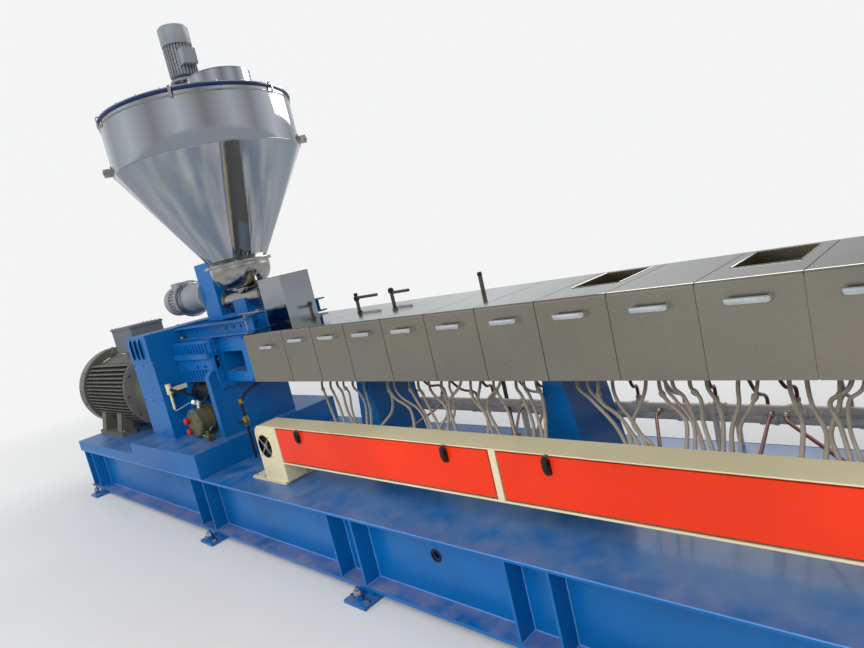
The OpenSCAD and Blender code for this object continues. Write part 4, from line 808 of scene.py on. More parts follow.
class EXTRUDER_OT_gearmotors(bpy.types.Operator):
    """The feeder's and the stirrer's geared motors"""

    bl_idname = "extruder.gearmotors"
    bl_label = "Geared motors"

    def build(self, gear, motor, tip, x, y, z, direction, length, gear_l):
        """Gear case, flange ring, finned motor and cowl, one behind the other along the direction."""
        # Fins: an outline that steps between core and tip radius many times round, carried along
        count = 28
        a = ((np.arange(count)[:, None] + np.array([0, 0.05, 0.3, 0.35])) * (TURN / count)).ravel()
        core = np.tile([motor - 14, motor, motor, motor - 14], count) * MM
        stations = (gear_l + np.array([22, 30, length - 8, length]))[:, None] * MM
        shrink = np.array([0.96, 1, 1, 0.96])[:, None]
        fins = np.stack([core * shrink * np.cos(a), core * shrink * np.sin(a),
            np.broadcast_to(stations, (4, len(a)))], -1)
        part = Shell().skin(fins)
        waist, end = gear * 0.93, gear_l + length
        part.join(lathe([(1, 0), (gear * 0.92, 0), (gear, 6), (gear, gear_l * 0.35), (waist, gear_l * 0.4),
            (waist, gear_l * 0.66), (gear, gear_l * 0.7), (gear, gear_l - 16), (gear * 0.9, gear_l - 2),
            (1, gear_l - 2)], 56), lathe([(motor * 0.8, end), (motor, end + 2), (motor + 3, end + 8),
            (motor + 3, tip - 14), (motor - 6, tip - 3), (motor - 22, tip), (1, tip)], 56))
        return Shell().repeat(part, at(x, y, z), direction)

    def execute(self, context):
        x, y, z = -1181, 275, 1483
        cast, bright = self.build(106, 112, 648, x, y, z, LEFT, 190, 379), Shell()
        ring = [(108, 370), (138, 370), (140, 373), (140, 392), (134, 395), (126, 395), (124, 391),
            (118, 391), (116, 402), (108, 402)]
        collar = [(100, 352), (118, 353), (122, 356), (122, 366), (110, 369), (100, 369)]
        bright.repeat(lathe(ring, 80, True), at(x, y, z), LEFT)
        bright.repeat(lathe(collar, 72, True), at(x, y, z), LEFT)
        bright.repeat(BOLT, circle_places(at(x - 370, y, z), LEFT, 130, 8, 0.3), RIGHT, 0.9)
        bright.repeat(BOLT, circle_places(at(x - 6, y, z), LEFT, 118, 8, 0.2), LEFT, 0.9)
        cast.repeat(lathe([(100, 0), (128, 0), (130, 3), (130, 12), (120, 16), (104, 22)]), at(x, y, z),
            LEFT)
        cast.join(block((x - 560, y - 62, z + 88), (x - 440, y + 62, z + 139), 2, 10, 4))
        make("feeder_gearmotor", cast, "gearmotor_grey", replaces=("feeder_motor",))
        make("feeder_gearmotor_ring", bright, "bright_steel")
        x, y, z = -750, 265, 2652
        cast, bright = self.build(62, 90, 518, x, y, z, UP, 210, 186), Shell()
        cast.repeat(lathe([(40, 0), (96, 0), (98, 3), (98, 14), (92, 18), (60, 24)]), at(x, y, z + 170), UP)
        cast.repeat(lathe([(40, 0), (69, 0), (70, 2), (70, 12), (66, 15), (50, 22)]), at(x, y, z), UP)
        cast.join(block((x + 66, y - 48, z + 256), (x + 128, y + 48, z + 356), 0, 8, 4))
        bright.repeat(BOLT, circle_places(at(x, y, z + 170), UP, 86, 8), DOWN, 0.8)
        bright.repeat(BOLT, circle_places(at(x, y, z + 13), UP, 60, 6), None, 0.7)
        for ring in range(18, 74, 9):
            bright.repeat(hoop(ring, 1.4, 40, 6), at(x, y, z + 518))
        make("stirrer_gearmotor", cast, "gearmotor_grey", replaces=("stirrer_motor",))
        make("stirrer_gearmotor_trim", bright, "bright_steel")
        return {"FINISHED"}


class EXTRUDER_OT_hopper(bpy.types.Operator):
    """Turned hopper with its bowl neck, rolled rim, lid, inlet drum, seams, clamps and brackets"""

    bl_idname = "extruder.hopper"
    bl_label = "Hopper"

    def execute(self, context):
        x, y = HOPPER
        drum_x, drum_y, clamp_z = x + 235, y + 75, 1642
        body = lathe([(182, 1650), (210, 1695.7), (582, 2302), (585, 2309), (585, 2632), (581, 2632),
            (581, 2309), (578, 2304), (178, 1651)], 192, True)
        make("hopper_body", Shell().repeat(body, at(x, y, 0)), "polished_sheet",
            replaces=("hopper_shell",), angle=50)
        rim = Shell().repeat(hoop(587, 9.6, 192, 16, 2623), at(x, y, 0))
        make("hopper_rolled_rim", rim, "rim_blue", replaces=("hopper_rim",))
        a = np.linspace(0, TURN / 4, 14)
        bowls = np.array([(96, 1484, 126), (92, 1488, 122)])[:, :, None]
        outer, inner = np.stack([100 + bowls[:, 0] * np.sin(a),
            bowls[:, 1] + bowls[:, 2] * (1 - np.cos(a))], -1)
        profile = np.concatenate([[(58, 1484)], outer, [(196, 1632), (206, 1634), (208, 1637), (208, 1647),
            (206, 1650), (178, 1650), (178, 1634), (192, 1634)], inner[::-1], [(58, 1488)]])
        neck = Shell().repeat(lathe(profile, 128, True), at(x, y, 0))
        make("hopper_bowl", neck, "bowl_sheet", replaces=("hopper_neck",), angle=50)
        lid = lathe([(1, 2648), (548, 2648), (559, 2633.2), (589, 2633.2), (589, 2638), (563, 2639),
            (551, 2652), (1, 2652)], 160)
        make("hopper_cover", Shell().repeat(lid, at(x, y, 0)), "polished_sheet",
            replaces=("hopper_lid",))
        drum = lathe([(1, 125), (186, 125), (186, 0), (190, 0), (190, 122), (192, 124), (192, 128),
            (190, 130), (168, 130), (166, 133), (1, 135)], 128)
        drum.join(lathe([(190, 2), (203, 2), (204, 4), (204, 9), (190, 11)], 128, True))
        make("inlet_drum", Shell().repeat(drum, at(drum_x, drum_y, 2652)), "polished_sheet",
            replaces=("lid_inlet",))
        trim, bolts = Shell(), Shell()
        for radius, wire, z in ((585.4, 1.6, 2308), (585, 5, 2592), (196.6, 1.8, 1612)):
            trim.repeat(hoop(radius, wire, 160, 8, z), at(x, y, 0))
        # Straight seams up the cone and the cylinder, each at one angle round the axis
        for angle in (1.5, 2.6):
            r = np.array([184, 400, 585.6, 585.6, 585.6])
            z = np.array([1652, 2004, 2309, 2450, 2612])
            line = at(x + r * np.cos(angle), y + r * np.sin(angle), z)
            trim.join(pipe(line, 1.6, (-np.sin(angle), np.cos(angle), 0.2), 6))
        clamp = lathe([(207, -9), (213, -9), (214, -7), (214, 7), (213, 9), (207, 9), (206, 5), (206, -5)],
            128, True)
        trim.repeat(clamp, at(x, y, clamp_z))
        for angle in (-0.55, 2.6, 4.0):
            turn, c, n = about_up(angle)
            trim.repeat(loose_block((-14, -9, -12), (14, 9, 12), 3, 1),
                at(x + 219 * c, y + 219 * n, clamp_z), turn=turn)
            for s in (1, -1):
                bolts.repeat(BOLT, at(x + 219 * c - 10 * s * n, y + 219 * n + 10 * s * c, clamp_z),
                    [-s * n, s * c, 0], 0.7)
        bolts.repeat(BOLT, circle_places(at(x, y, 2638.4), UP, 576, 24), None, 0.75)
        bolts.repeat(BOLT, circle_places(at(drum_x, drum_y, 2663), UP, 198, 12), None, 0.45)
        # Draw clamps that hold the lid: a curved arm down over the rim to a hook on the cylinder
        for k in range(6):
            angle = 0.35 + k * np.pi / 3
            c, n = np.cos(angle), np.sin(angle)
            r = np.array([580, 594, 602, 602, 597, 588])
            z = np.array([2642, 2643, 2634, 2606, 2588, 2580])
            trim.join(pipe(curve(at(x + r * c, y + r * n, z), 4), 9, (c, n, 0), 10, 2.6, 0.6))
        # Brackets at the foot of the cylinder
        for angle in (4.33, 0.9, 2.6):
            turn, c, n = about_up(angle)
            for low, high, corner in (((-1, -40, 2311), (5, 40, 2372), 1.2),
                    ((4, -6, 2316), (50, 6, 2366), 1.2), ((34, -26, 2336), (54, 26, 2348), 2)):
                trim.repeat(loose_block(low, high, corner, 1), at(x + 585 * c, y + 585 * n, 0), turn=turn)
            spots = at(x + 590 * c + np.array([28, -28]) * -n, y + 590 * n + np.array([28, -28]) * c, 2354)
            bolts.repeat(BOLT, spots, [c, n, 0], 0.6)
        make("hopper_trim", trim, "bowl_sheet")
        make("hopper_bolts", bolts, "bright_steel")
        return {"FINISHED"}


class EXTRUDER_OT_feeder(bpy.types.Operator):
    """Feeder trough, its inlet throat and flanges, bright rods along the hood's edges as painted highlight
    lines, and the stand beside it
    """

    bl_idname = "extruder.feeder"
    bl_label = "Feeder"

    def execute(self, context):
        y, z, trough_x = 275, 1410, -965
        trough = lathe([(66, 40), (66, 573), (84, 573), (84, 558), (82, 556), (71, 556), (70, 553),
            (70, 20), (71, 17), (82, 16), (84, 14), (84, 1), (83, 0), (1, 0), (1, 40)], 96, True)
        shell = Shell().repeat(trough, at(trough_x, y, z), RIGHT)
        for throat in ([(62, 0), (62, 68), (66, 74), (58, 74), (58, 0)],
                [(62, 58), (88, 58), (89, 60), (89, 66), (88, 68), (62, 68)]):
            shell.repeat(lathe(throat, 64, True), at(HOPPER[0], y, z))
        # Inspection cover: a curved plate that wraps a part of the trough, with a raised rim
        a = np.linspace(-0.2, 1.25, 16)
        for r0, r1, x0, x1 in ((69.5, 74, -628, -470), (73, 79, -618, -480)):
            sine, cosine = (np.concatenate([r1 * f(a + 0.5), r0 * f(a + 0.5)[::-1]])
                for f in (np.sin, np.cos))
            shell.skin(np.stack([at(x, y - sine, z + cosine) for x in (x0, x1)]))
        make("feed_trough", shell, "bowl_sheet", replaces=("feeder_trough",), angle=40)
        trim, bolts = Shell(), Shell()
        x0, x1, y0, y1, top = -392, -144, 172, 378, 1500
        # Thin bright rods along the hood's corner and top edges: painted highlight lines where the sheet
        # folds
        for x in (x0, x1):
            for edge in (y0, y1):
                trim.join(pipe(at([x, x], [edge, edge], [1206, top]), 1.6, sides=8))
            trim.join(pipe(at([x, x], [y0, y1], [top, top]), 1.6, sides=8))
        for edge in (y0, y1):
            trim.join(pipe(at([x0, x1], [edge, edge], [top, top]), 1.6, (0, 1, 0), 8))
        stand = block((-716, 178, 1205.5), (-396, 184, 1302), 1, 3, 1)
        make("trough_stand", stand, "machine_blue_enamel")
        trim.join(block((-722, 166, 1301), (-395, 176, 1314), 0, 2, 1),
            block((-402, 20, 1201.5), (-388, 26, 1316), 2, 1.5, 0.8),
            block((-402, 20, 1308), (-388, 178, 1314), 1, 1.5, 0.8),
            block((-424, 6, 1201.5), (-366, 44, 1206), 2, 3, 1))
        bolts.repeat(BOLT, at([-414, -376], 25, 1206), None, 0.6)
        for x, way in ((trough_x + 15.5, 1), (trough_x + 556.5, -1)):
            bolts.repeat(BOLT, circle_places(at(x, y, z), (way, 0, 0), 77, 8, 0.2), (way, 0, 0), 0.5)
        bolts.repeat(BOLT, circle_places(at(HOPPER[0], y, z + 67.6), UP, 78, 8), None, 0.45)
        bolts.repeat(BOLT, crossings((-860, -520), (190, 360), (1315.6,)))
        make("feeder_trim", trim, "bright_steel")
        make("feeder_bolts", bolts, "bright_steel")
        return {"FINISHED"}


class EXTRUDER_OT_guard_louvres(bpy.types.Operator):
    """Pressed hoods over the coupling guard's louvres, and its screws"""

    bl_idname = "extruder.guard_louvres"
    bl_label = "Guard louvres"

    def execute(self, context):
        hoods, screws = Shell(), Shell()
        # A hood stands out by the root of 1 - (2u - 1)^4 along it and by the root of v across it
        u, v = np.meshgrid(np.linspace(0, 1, 15), np.linspace(0, 1, 9), indexing="ij")
        out = 15 * np.sqrt(1 - 0.999 * (2 * u - 1) ** 4) * np.sqrt(v)
        for k in range(3):
            x0 = -1645 + 85 * k
            across, up = x0 - 3 + 48 * v, 1141 + 153 * u
            outer = at(across, -238.2 - out, up)
            inner = at(across + 1.5, -236.4 - out, up)
            hoods.skin(np.concatenate([outer, inner[:, ::-1]], 1))
        make("guard_hoods", hoods, "machine_blue_enamel", angle=60)
        for y, way in ((-232, FRONT), (544, REAR)):
            screws.repeat(BOLT, crossings((-1672, -1508, -1344), (y,), (585, 840, 1098)), way, 0.6)
        screws.repeat(BOLT, crossings((-1672, -1344), (-180, 156, 492), (1310,)), None, 0.6)
        make("guard_screws", screws, "machine_blue_enamel")
        return {"FINISHED"}


class EXTRUDER_OT_gearbox_fittings(bpy.types.Operator):
    """Bolts, lifting eyes, sight glass and breather of the gearbox, and fittings of its oil lines"""

    bl_idname = "extruder.gearbox_fittings"
    bl_label = "Gearbox fittings"

    def execute(self, context):
        bolts, cast, bright, hose, red, white = (Shell() for _ in range(6))
        joint_x, glass_x, case_y, cooler_z = -1305 + 22.5 + 45 * np.arange(11), -1240, -69.5, 835
        for y in (-81, 393):
            bolts.repeat(BOLT, at(joint_x, y, 1115), None, 0.8)
            bolts.repeat(BOLT, at(joint_x, y, 1085), DOWN, 0.8)
        bolts.repeat(BOLT, crossings((-775,), (-28,), np.linspace(890, 1182, 6)), RIGHT, 0.9)
        for y, way in ((5, FRONT), (545, REAR)):
            bolts.repeat(SOCKET_SCREW, crossings((-752, -452), (y,), (915, 1185)), way)
        bolts.repeat(BOLT, crossings(np.linspace(-1245, -870, 5), (58, 320), (1208,)), None, 0.8)
        bolts.repeat(BOLT, crossings((-1290, -1180, -1080, -660, -560, -470), (23,), (1254,)), FRONT, 0.9)
        for x in (-1235, -880):
            cast.repeat(lathe([(1, 0), (17, 0), (17, 6), (10, 10), (1, 10)], 20), at(x, 120, 1208))
            cast.repeat(hoop(15, 4.5, 26, 8), at(x, 120, 1231), REAR)
        bright.repeat(lathe([(1, 0), (9, 0), (9, 14), (16, 17), (18, 20), (18, 34), (15, 39), (1, 40)], 24),
            at(-1287, 0, 1200))
        cast.repeat(lathe([(1, 0), (20, 0), (22, 2), (22, 8), (19, 11), (15, 11), (14, 6), (1, 6)], 28),
            at(glass_x, case_y, 1045), FRONT)
        hose.repeat(lathe([(1, 6.2), (14, 6.2), (14, 7.5), (1, 8)], 24), at(glass_x, case_y, 1045), FRONT)
        for x in (-1010, -900):
            cast.repeat(lathe([(1, 0), (13, 0), (13, 5), (1, 5.5)], 20), at(x, case_y, 1030), FRONT)
            cast.repeat(lathe([(8, 4), (8, 13), (6.6, 14), (1, 14)], 6), at(x, case_y, 1030), FRONT)
        # Cooler: bolts round both end flanges, ports, and the hose down to the pump's tee
        for x, way in ((-1250, -1), (-1228, 1), (-912, -1), (-890, 1)):
            spots = circle_places(at(x, 5, cooler_z), (way, 0, 0), 56, 8, 0.39)
            bolts.repeat(BOLT, spots, (way, 0, 0), 0.45)
        for x in (-1190, -950):
            hose.repeat(lathe([(12, -4), (12, 14), (17, 16), (17, 26), (1, 27)], 20), at(x, -52, cooler_z),
                FRONT)
        px, py, pz = -1075, -182, 661
        for dx, dz in ((-62, 20), (-58, -55)):
            red.repeat(lathe([(1, 28.6), (17, 28.4), (21, 26), (22.5, 22), (22.5, 6), (21.4, 4)], 28),
                at(px + dx, py, pz + dz), FRONT)
        white.repeat(lathe([(9, -4), (9, 30), (12, 31), (12, 46), (9, 48), (1, 48)], 16),
            at(px + 8, -120, 757))
        white.repeat(lathe([(8, -44), (12, -43), (12, -26), (9, -24), (9, 24), (12, 26), (12, 43), (8, 44)],
            16), at(px + 8, -120, 788), RIGHT)
        white.repeat(lathe([(1, 0), (7, 0), (8, 20), (15, 24), (15, 34), (13, 38), (1, 38)], 16),
            at(px + 8, -124, 790), [0.3, -0.8, 0.5])
        line = bent(at([px - 36, -1190, -1289, -1289], [-120, -120, -190, -190], [788, 788, 745, 768]), 26)
        bright.join(pipe(line, 6.5, (0, 1, 0.3), 12))
        line = curve(at([px + 52, -985, -955, -950], [-120, -118, -100, -74], [788, 792, 818, 835]), 8)
        hose.join(pipe(line, 9, (0, 0, 1), 14))
        line = curve(at([-1190, -1192, -1215, -1262, -1285], [-74, -100, -140, -182, -190],
            [835, 838, 868, 900, 905]), 8)
        hose.join(pipe(line, 9, (0, 0, 1), 14))
        # Terminal box, foot plate and bolts of the pump, and the brass valve before it
        cast.join(block((px - 42, 0, pz + 84), (px + 42, 78, pz + 128), 2, 8, 3))
        bolts.repeat(BOLT, crossings((px - 78, px + 78), (-40, 34), (571,)), None, 0.8)
        cast.join(block((px - 92, -60, 555), (px + 92, 50, 571), 2, 4, 2))
        bolts.repeat(BOLT, circle_places(at(px, py, pz), FRONT, 84, 8, 0.3), FRONT, 0.6)
        valve_x, valve_y, riser_x, riser_y = -882, -185, -632, -30
        brass = block((-912, -206, 572), (-852, -164, 600), 0, 6, 2)
        brass.repeat(lathe([(12, -38), (17, -37), (17, -24), (11, -22), (11, 22), (17, 24), (17, 37),
            (12, 38)], 16), at(valve_x, valve_y, 586), RIGHT)
        brass.repeat(lathe([(1, 0), (8, 0), (8, 16), (15, 18), (16, 24), (12, 28), (1, 28)], 18),
            at(valve_x, valve_y, 598))
        brass.join(block((-905, -200, 555), (-860, -170, 573), 2, 3, 1))
        line = bent(at([-919, -975, -975, -975], [valve_y, valve_y, -150, -105], [586, 586, 586, 620]), 22)
        bright.join(pipe(line, 8, (0, 0, 1), 12))
        # Water feed that rises from the deck to the barrel's first section
        line = bent(at([riser_x, riser_x, -560, -470], [riser_y, riser_y, 40, 130],
            [DECK_Z, 800, 862, 900]), 60)
        hose.join(pipe(line, 9, (0.5, -0.5, 0.2), 12))
        brass.repeat(lathe([(10, -34), (17, -33), (17, -20), (22, -12), (22, 12), (17, 20), (17, 33),
            (10, 34)], 18), at(riser_x, riser_y, 648))
        brass.repeat(lathe([(1, 18), (7, 18), (7, 40), (1, 40)], 14), at(riser_x, riser_y, 648), FRONT)
        hose.join(block((-672, -74, 641), (-620, -66, 655), 1, 5, 1))
        brass.repeat(lathe([(10, -16), (15, -15), (15, 15), (10, 16)], 6), at(riser_x, riser_y, 780))
        make("gearbox_bolts", bolts, "machine_blue_enamel")
        make("lifting_eyes", cast, "machine_blue_enamel")
        make("oil_pipes", bright, "bright_steel")
        make("oil_hoses", hose, "black_rubber")
        make("pump_caps", red, "red_plastic")
        make("pump_tee", white, "white_plastic")
        make("oil_valve", brass, "valve_brass")
        return {"FINISHED"}


class EXTRUDER_OT_base_fittings(bpy.types.Operator):
    """Weld beads in a lighter blue as painted highlight, painted highlight strips along the deck's top
    edges, anchor bolts, column feet, the ring of the web's hole and the rear posts' clamps
    """

    bl_idname = "extruder.base_fittings"
    bl_label = "Base fittings"

    def execute(self, context):
        welds_and_edge_highlights, bolts, dark, feet = (Shell() for _ in range(4))
        web_front, web_rear, bare_x = -299, 611, -1990
        stiffened_front = [x for x in STIFFENER_X if x != bare_x]
        for y in (web_front, -287, 599, web_rear):
            # A bead whose thickness waves with its length
            x = np.linspace(-3126, 3416, 640)
            bead = 3.4 + 0.7 * np.sin(np.arange(640) * 2.1)
            welds_and_edge_highlights.join(pipe(at(x, y, 61.5), bead, (0, 0, 1), 6),
                pipe(at(x[::3], y, 382.5), bead[::3] * 0.9, (0, 0, 1), 6))
        for row, out, pairs in ((web_front, -1, stiffened_front), (web_rear, 1, STIFFENER_X)):
            for x in pairs:
                for s in (-96, -84, 84, 96):
                    z = np.linspace(62, 382, 24)
                    welds_and_edge_highlights.join(pipe(at(x + s, row, z), 2.6 + 0.6 * np.sin(np.arange(24) * 2.2), sides=6))
                    yy = np.linspace(row, row + out * 84, 8)
                    welds_and_edge_highlights.join(pipe(at(x + s, yy, 61.5), 2.8, sides=6))
        for x in COLUMN_X:
            feet.join(block((x - 146, 96, DECK_Z), (x + 146, 454, 408), 2, 8, 2))
            bolts.repeat(BOLT, crossings((x - 131, x + 131), (120, 275, 430), (408,)), None, 1.3)
        # Round strips along the deck's front and rear top edges: painted highlight lines, not welds
        for y in (-387.6, 699.6):
            welds_and_edge_highlights.join(pipe(at([-3128, 0, 3418], y, [394.4] * 3), 2.2, (0, 0, 1), 8))
        # The weld beads and the deck-edge strips take the lighter blue of the painted highlight
        make("weld_beads_and_edge_highlights", welds_and_edge_highlights, "highlight_blue_enamel", angle=60)
        for row, pairs in ((BASE_FRONT - 36, stiffened_front), (BASE_REAR + 36, STIFFENER_X)):
            x = np.array(pairs) + FOOT_SHIFT
            bolts.repeat(BOLT, crossings(np.concatenate([x - 52, x + 52]), (row,), (16,)), None, 1.25)
            # Jacking screw's nut and washer, and its turned point
            bolts.repeat(lathe([(1, 0), (24, 0), (24, 4), (21, 5), (21, 19), (18, 22), (12, 22), (12, 30),
                (9, 33), (1, 33)], 6), crossings(x, (row,), (45,)), None, 0.92)
        bolts.repeat(BOLT, crossings((-262, -172, 3295, 3385), (-226, -84), (409,)), None, 0.9)
        dark.repeat(lathe([(6, -0.2), (8, 0.2), (8, 0.8), (4, 0.8), (4, -0.2)], 20),
            at([46, 3077], -78, 409))
        dark.repeat(hoop(25, 4.5, 40, 10), at(1197, web_front, 255), REAR)
        for x, y, z in ((-35, 612, 1247), (283, 626, 1261)):
            dark.join(block((x - 15, y - 13, z - 13), (x + 15, y + 13, z + 13), 2, 5, 2))
        for x, y, z in ((-35, 612, 1283), (283, 626, 1279), (1000, 600, 1286)):
            dark.repeat(lathe([(11.2, -14), (12.6, -13), (12.6, 0), (9, 4), (1, 5)], 20), at(x, y, z - 5))
            bolts.repeat(BOLT, circle_places(at(x, y, 403), UP, 24, 4, 0.78), None, 0.5)
        make("column_feet", feet, "machine_blue_enamel")
        make("base_bolts", bolts, "bright_steel")
        make("post_clamps", dark, "latch_black")
        return {"FINISHED"}


class EXTRUDER_OT_valve_set(bpy.types.Operator):
    """Two water headers and a row of solenoid valves inside the valve box"""

    bl_idname = "extruder.valve_set"
    bl_label = "Valve set"

    def execute(self, context):
        brass, coils, knobs = Shell(), Shell(), Shell()
        for z in (573, 663):
            line = at([110, 800, 1400, 3012], -131.5, z)
            brass.join(pipe(line, 12.6, (0, 0, 1), 20))
            brass.repeat(lathe([(13, -10), (17, -9), (17, 9), (13, 10)], 6),
                crossings((116, 1561, 3006), (-131.5,), (z,)), RIGHT)
        x = np.concatenate([start + np.linspace(100, 1351, 8) for start in (89, 1583)])
        body = lathe([(1, -20), (10, -20), (12, -18), (12, -9), (15, -7), (15, 7), (12, 9), (12, 18),
            (10, 20), (1, 20)], 16)
        brass.repeat(body, at(x, -158, 580))
        brass.repeat(lathe([(9, 0), (13, 1), (13, 14), (9, 15), (9, 30)], 6), at(x, -142, 573), FRONT)
        brass.join(*[pipe(curve(at([k, k + 2, k + 6, k + 4], [-158, -160, -150, -134],
            [600, 626, 650, 661]), 4), 5, (1, 0, 0.1), 8) for k in x])
        coils.repeat(loose_block((-12, -13, -15), (12, 13, 15)), at(x, -179, 580))
        knobs.repeat(lathe([(1, 11), (9, 11), (11, 9), (11, 2), (12, 0)], 14), at(x, -187, 563), FRONT)
        make("valve_headers", brass, "valve_brass", replaces=("valve_manifold",))
        make("valve_coils", coils, "latch_black")
        make("valve_knobs", knobs, "red_plastic")
        return {"FINISHED"}


class EXTRUDER_OT_die_fittings(bpy.types.Operator):
    """Bolts, band heater and terminal box of the strand die, and the barrel's flange bolts"""

    bl_idname = "extruder.die_fittings"
    bl_label = "Die fittings"

    def execute(self, context):
        bolts, band = Shell(), Shell()
        x, y, z = 2960, BARREL_Y, BARREL_Z
        bolts.repeat(BOLT, circle_places(at(x + 24, y, z), RIGHT, 128, 12), RIGHT, 0.7)
        bolts.repeat(SOCKET_SCREW, circle_places(at(x + 130, y, z), RIGHT, 98, 12, 0.26), RIGHT)
        for s in (-1, 1):
            bolts.repeat(SOCKET_SCREW, crossings((2862, 2900, 2938), (y + 95 * s,), (992, 1108)), [0, s, 0])
        band.repeat(lathe([(119.6, 30), (123, 30), (123, 88), (119.6, 88)], 96, True), at(x, y, z), RIGHT)
        for dx in (36, 82):
            band.repeat(hoop(123.4, 1.6, 96, 6), at(x + dx, y, z), RIGHT)
        band.join(block((x + 40, y - 24, z + 121), (x + 78, y + 24, z + 150), 2, 4, 1.5))
        flange_x = COVER_W * np.arange(1, 10)
        for s in (-1, 1):
            for dx, way in ((15, 1), (-15, -1)):
                spots = crossings(flange_x + dx, (y + 124 * s,), (985, 1050, 1115))
                bolts.repeat(BOLT, spots, (way, 0, 0), 0.75)
        make("die_bolts", bolts, "bright_steel")
        make("die_band_heater", band, "bright_steel")
        return {"FINISHED"}


BACKDROP = (0.90, 0.905, 0.91)


def floor_material(name, colour, roughness):
    """A pale floor that turns into the plain backdrop with distance from the machine. To glossy rays it
    glows in soft grey and blue fields, a painted reflection that polished metal shows."""
    finish = Finish(name, colour, roughness)
    clouds = finish.noise(1.3, 3.0).between(0.3, 0.7)
    finish.set("Base Color", finish.mix(clouds, (*[c * 0.97 for c in colour], 1), (*colour, 1)))
    flat = finish.node("VectorMath", {"operation": "MULTIPLY"}, {0: finish.place, 1: (0.7, 1, 0)})
    far = finish.node("VectorMath", {"operation": "LENGTH"}, {0: flat}, "Value").between(2.4, 6.0)
    camera = finish.node("LightPath", output="Is Camera Ray")
    glossy = finish.node("LightPath", output="Is Glossy Ray")
    # Painted reflection: grey and blue fields that only glossy rays see, so that polished metal shows them
    painted_reflection_fields = finish.noise(0.55, 2.0, stretch=(1.0, 1.4, 1.0)).between(0.4, 0.62)
    mirrored = finish.mix(painted_reflection_fields, (0.20, 0.27, 0.38, 1), (0.62, 0.63, 0.64, 1))
    mirrored = finish.mix(far, mirrored, (0.44, 0.48, 0.54, 1))
    glow = finish.node("Emission", {}, {"Color": finish.mix(glossy, (*BACKDROP, 1), mirrored),
        "Strength": 1.0})
    seen = finish.node("MixShader", {}, {0: camera * far + glossy * 0.8, 2: glow})
    finish.tree.links.new(finish.shader.outputs[0], seen.socket.node.inputs[1])
    finish.tree.links.new(seen.socket, finish.tree.nodes["Material Output"].inputs["Surface"])
    return finish.material


class EXTRUDER_OT_stage(bpy.types.Operator):
    """Set the floor, the lamps and the camera"""

    bl_idname = "extruder.stage"
    bl_label = "Stage"

    def execute(self, context):
        span, level = 40.0, -0.001
        mesh = bpy.data.meshes.new("floor")
        mesh.from_pydata([(-span, -span, level), (span, -span, level), (span, span, level),
            (-span, span, level)], [], [(0, 1, 2, 3)])
        floor = bpy.data.objects.new("floor", mesh)
        context.collection.objects.link(floor)
        mesh.materials.append(floor_material("floor_pale", (0.74, 0.74, 0.735), 0.6))

        world = bpy.data.worlds.new("studio")
        context.scene.world = world
        world.use_nodes = True
        # The world's nodes are made by the same method as a material's
        sky = Finish.__new__(Finish)
        sky.tree = world.node_tree
        background = sky.tree.nodes["Background"]
        way = sky.node("TexCoord", output="Generated")
        split = sky.node("SeparateXYZ", {}, {0: way}, "X")
        along, across, up = (Value(sky, split.socket.node.outputs[k]) for k in range(3))
        turn = sky.node("Math", {"operation": "ARCTAN2"}, {0: across, 1: along}) * (1 / TURN) + 0.5
        steps = [(0.0, 1.0), (0.08, 0.55), (0.17, 0.95), (0.27, 0.30), (0.36, 0.85), (0.44, 0.22),
            (0.53, 0.75), (0.60, 0.30), (0.68, 1.0), (0.77, 0.38), (0.86, 0.9), (0.94, 0.45), (1.0, 1.0)]
        bands = sky.node("ValToRGB", {"stops": [(place, (0.86 * v, 0.93 * v, v, 1)) for place, v in steps]},
            {0: turn}, "Color")
        high = (up * up).between(0.02, 0.45)
        mirrored = sky.mix(high * 0.75, (*BACKDROP, 1), (0.34, 0.42, 0.52, 1))
        mirrored = sky.node("Mix", {"data_type": "RGBA", "blend_type": "MULTIPLY"},
            {0: 0.8, 6: mirrored, 7: bands}, 2)
        camera = sky.node("LightPath", output="Is Camera Ray")
        glossy = sky.node("LightPath", output="Is Glossy Ray")
        sky.feed(background.inputs["Color"], sky.mix(glossy, (*BACKDROP, 1), mirrored))
        sky.feed(background.inputs["Strength"], (camera + glossy).between(0.0, 1.0) * 0.45 + 0.55)

        def lamp(name, place, target, size, power, colour=(1, 1, 1), mirrored_too=False):
            data = bpy.data.lights.new(name, "AREA")
            data.size, data.energy, data.color = size, power, colour
            made = bpy.data.objects.new(name, data)
            context.collection.objects.link(made)
            made.location = place
            aim = Vector(target) - Vector(place)
            made.rotation_euler = aim.to_track_quat("-Z", "Y").to_euler()
            made.visible_glossy = mirrored_too

        lamp("key_lamp", (2.5, -5.5, 5.5), (0, 0, 1), 4.0, 270)
        lamp("fill_lamp", (-6.0, -3.5, 4.0), (-2, 0, 1), 4.0, 150, (0.97, 0.98, 1.0))
        lamp("front_lamp", (3.5, -8.0, 3.0), (0.5, 0, 0.8), 5.0, 190)
        lamp("back_lamp", (0.0, 6.0, 5.0), (0, 0, 1), 4.0, 220, mirrored_too=True)

        data = bpy.data.cameras.new("camera")
        camera = bpy.data.objects.new("camera", data)
        context.collection.objects.link(camera)
        context.scene.camera = camera
        data.sensor_fit, data.sensor_width, data.lens, data.clip_end = "HORIZONTAL", 36.0, 24.82, 200.0
        # Columns: the camera's right, its up, and the way back from what it looks at
        aim = Matrix(((0.7128, 0.0688, 0.698), (0.6641, 0.2538, -0.7032), (-0.2255, 0.9648, 0.1352)))
        camera.matrix_world = Matrix.Translation(at(2941, -1775, 1496)) @ aim.to_4x4()
        context.scene.view_settings.view_transform = "Standard"
        return {"FINISHED"}


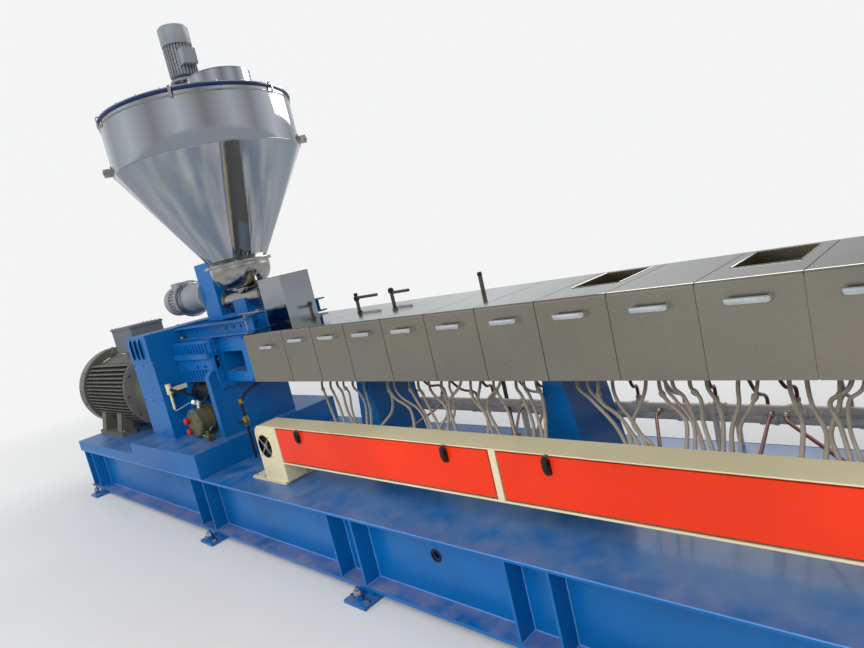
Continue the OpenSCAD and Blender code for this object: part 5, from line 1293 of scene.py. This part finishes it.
class EXTRUDER_PT_panel(bpy.types.Panel):
    """Lists what dresses the extruder"""

    bl_idname = "EXTRUDER_PT_panel"
    bl_label = "Extruder"
    bl_space_type = "VIEW_3D"
    bl_region_type = "UI"
    bl_category = "Extruder"

    def draw(self, context):
        for made in OPERATORS:
            self.layout.operator(made.bl_idname)
        for name in ("machine_blue", "box_cream", "door_orange", "stainless"):
            self.layout.prop(context.scene.extruder_colours, name)
        for name in ("tube_r", "handle_bar"):
            self.layout.prop(context.scene.extruder_sizes, name)


OPERATORS = (
    EXTRUDER_OT_finish_frame, EXTRUDER_OT_water_lines, EXTRUDER_OT_main_fittings,
    EXTRUDER_OT_pull_handles, EXTRUDER_OT_cover_hems, EXTRUDER_OT_door_latches,
    EXTRUDER_OT_ventilators, EXTRUDER_OT_main_motor_fittings, EXTRUDER_OT_gearmotors,
    EXTRUDER_OT_hopper, EXTRUDER_OT_feeder, EXTRUDER_OT_guard_louvres,
    EXTRUDER_OT_gearbox_fittings, EXTRUDER_OT_base_fittings, EXTRUDER_OT_valve_set,
    EXTRUDER_OT_die_fittings, EXTRUDER_OT_stage)
CLASSES = (ExtruderColours, ExtruderSizes, *OPERATORS, EXTRUDER_PT_panel)


def register():
    for made in CLASSES:
        bpy.utils.register_class(made)
    bpy.types.Scene.extruder_colours = bpy.props.PointerProperty(type=ExtruderColours)
    bpy.types.Scene.extruder_sizes = bpy.props.PointerProperty(type=ExtruderSizes)


def unregister():
    del bpy.types.Scene.extruder_sizes
    del bpy.types.Scene.extruder_colours
    for made in reversed(CLASSES):
        bpy.utils.unregister_class(made)


def main():
    register()
    bpy.ops.extruder.finish_frame()
    bpy.ops.extruder.water_lines()
    bpy.ops.extruder.main_fittings()
    bpy.ops.extruder.pull_handles()
    bpy.ops.extruder.cover_hems()
    bpy.ops.extruder.door_latches()
    bpy.ops.extruder.ventilators()
    bpy.ops.extruder.main_motor_fittings()
    bpy.ops.extruder.gearmotors()
    bpy.ops.extruder.hopper()
    bpy.ops.extruder.feeder()
    bpy.ops.extruder.guard_louvres()
    bpy.ops.extruder.gearbox_fittings()
    bpy.ops.extruder.base_fittings()
    bpy.ops.extruder.valve_set()
    bpy.ops.extruder.die_fittings()
    bpy.ops.extruder.stage()
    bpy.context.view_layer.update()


if __name__ == "__main__":
    main()
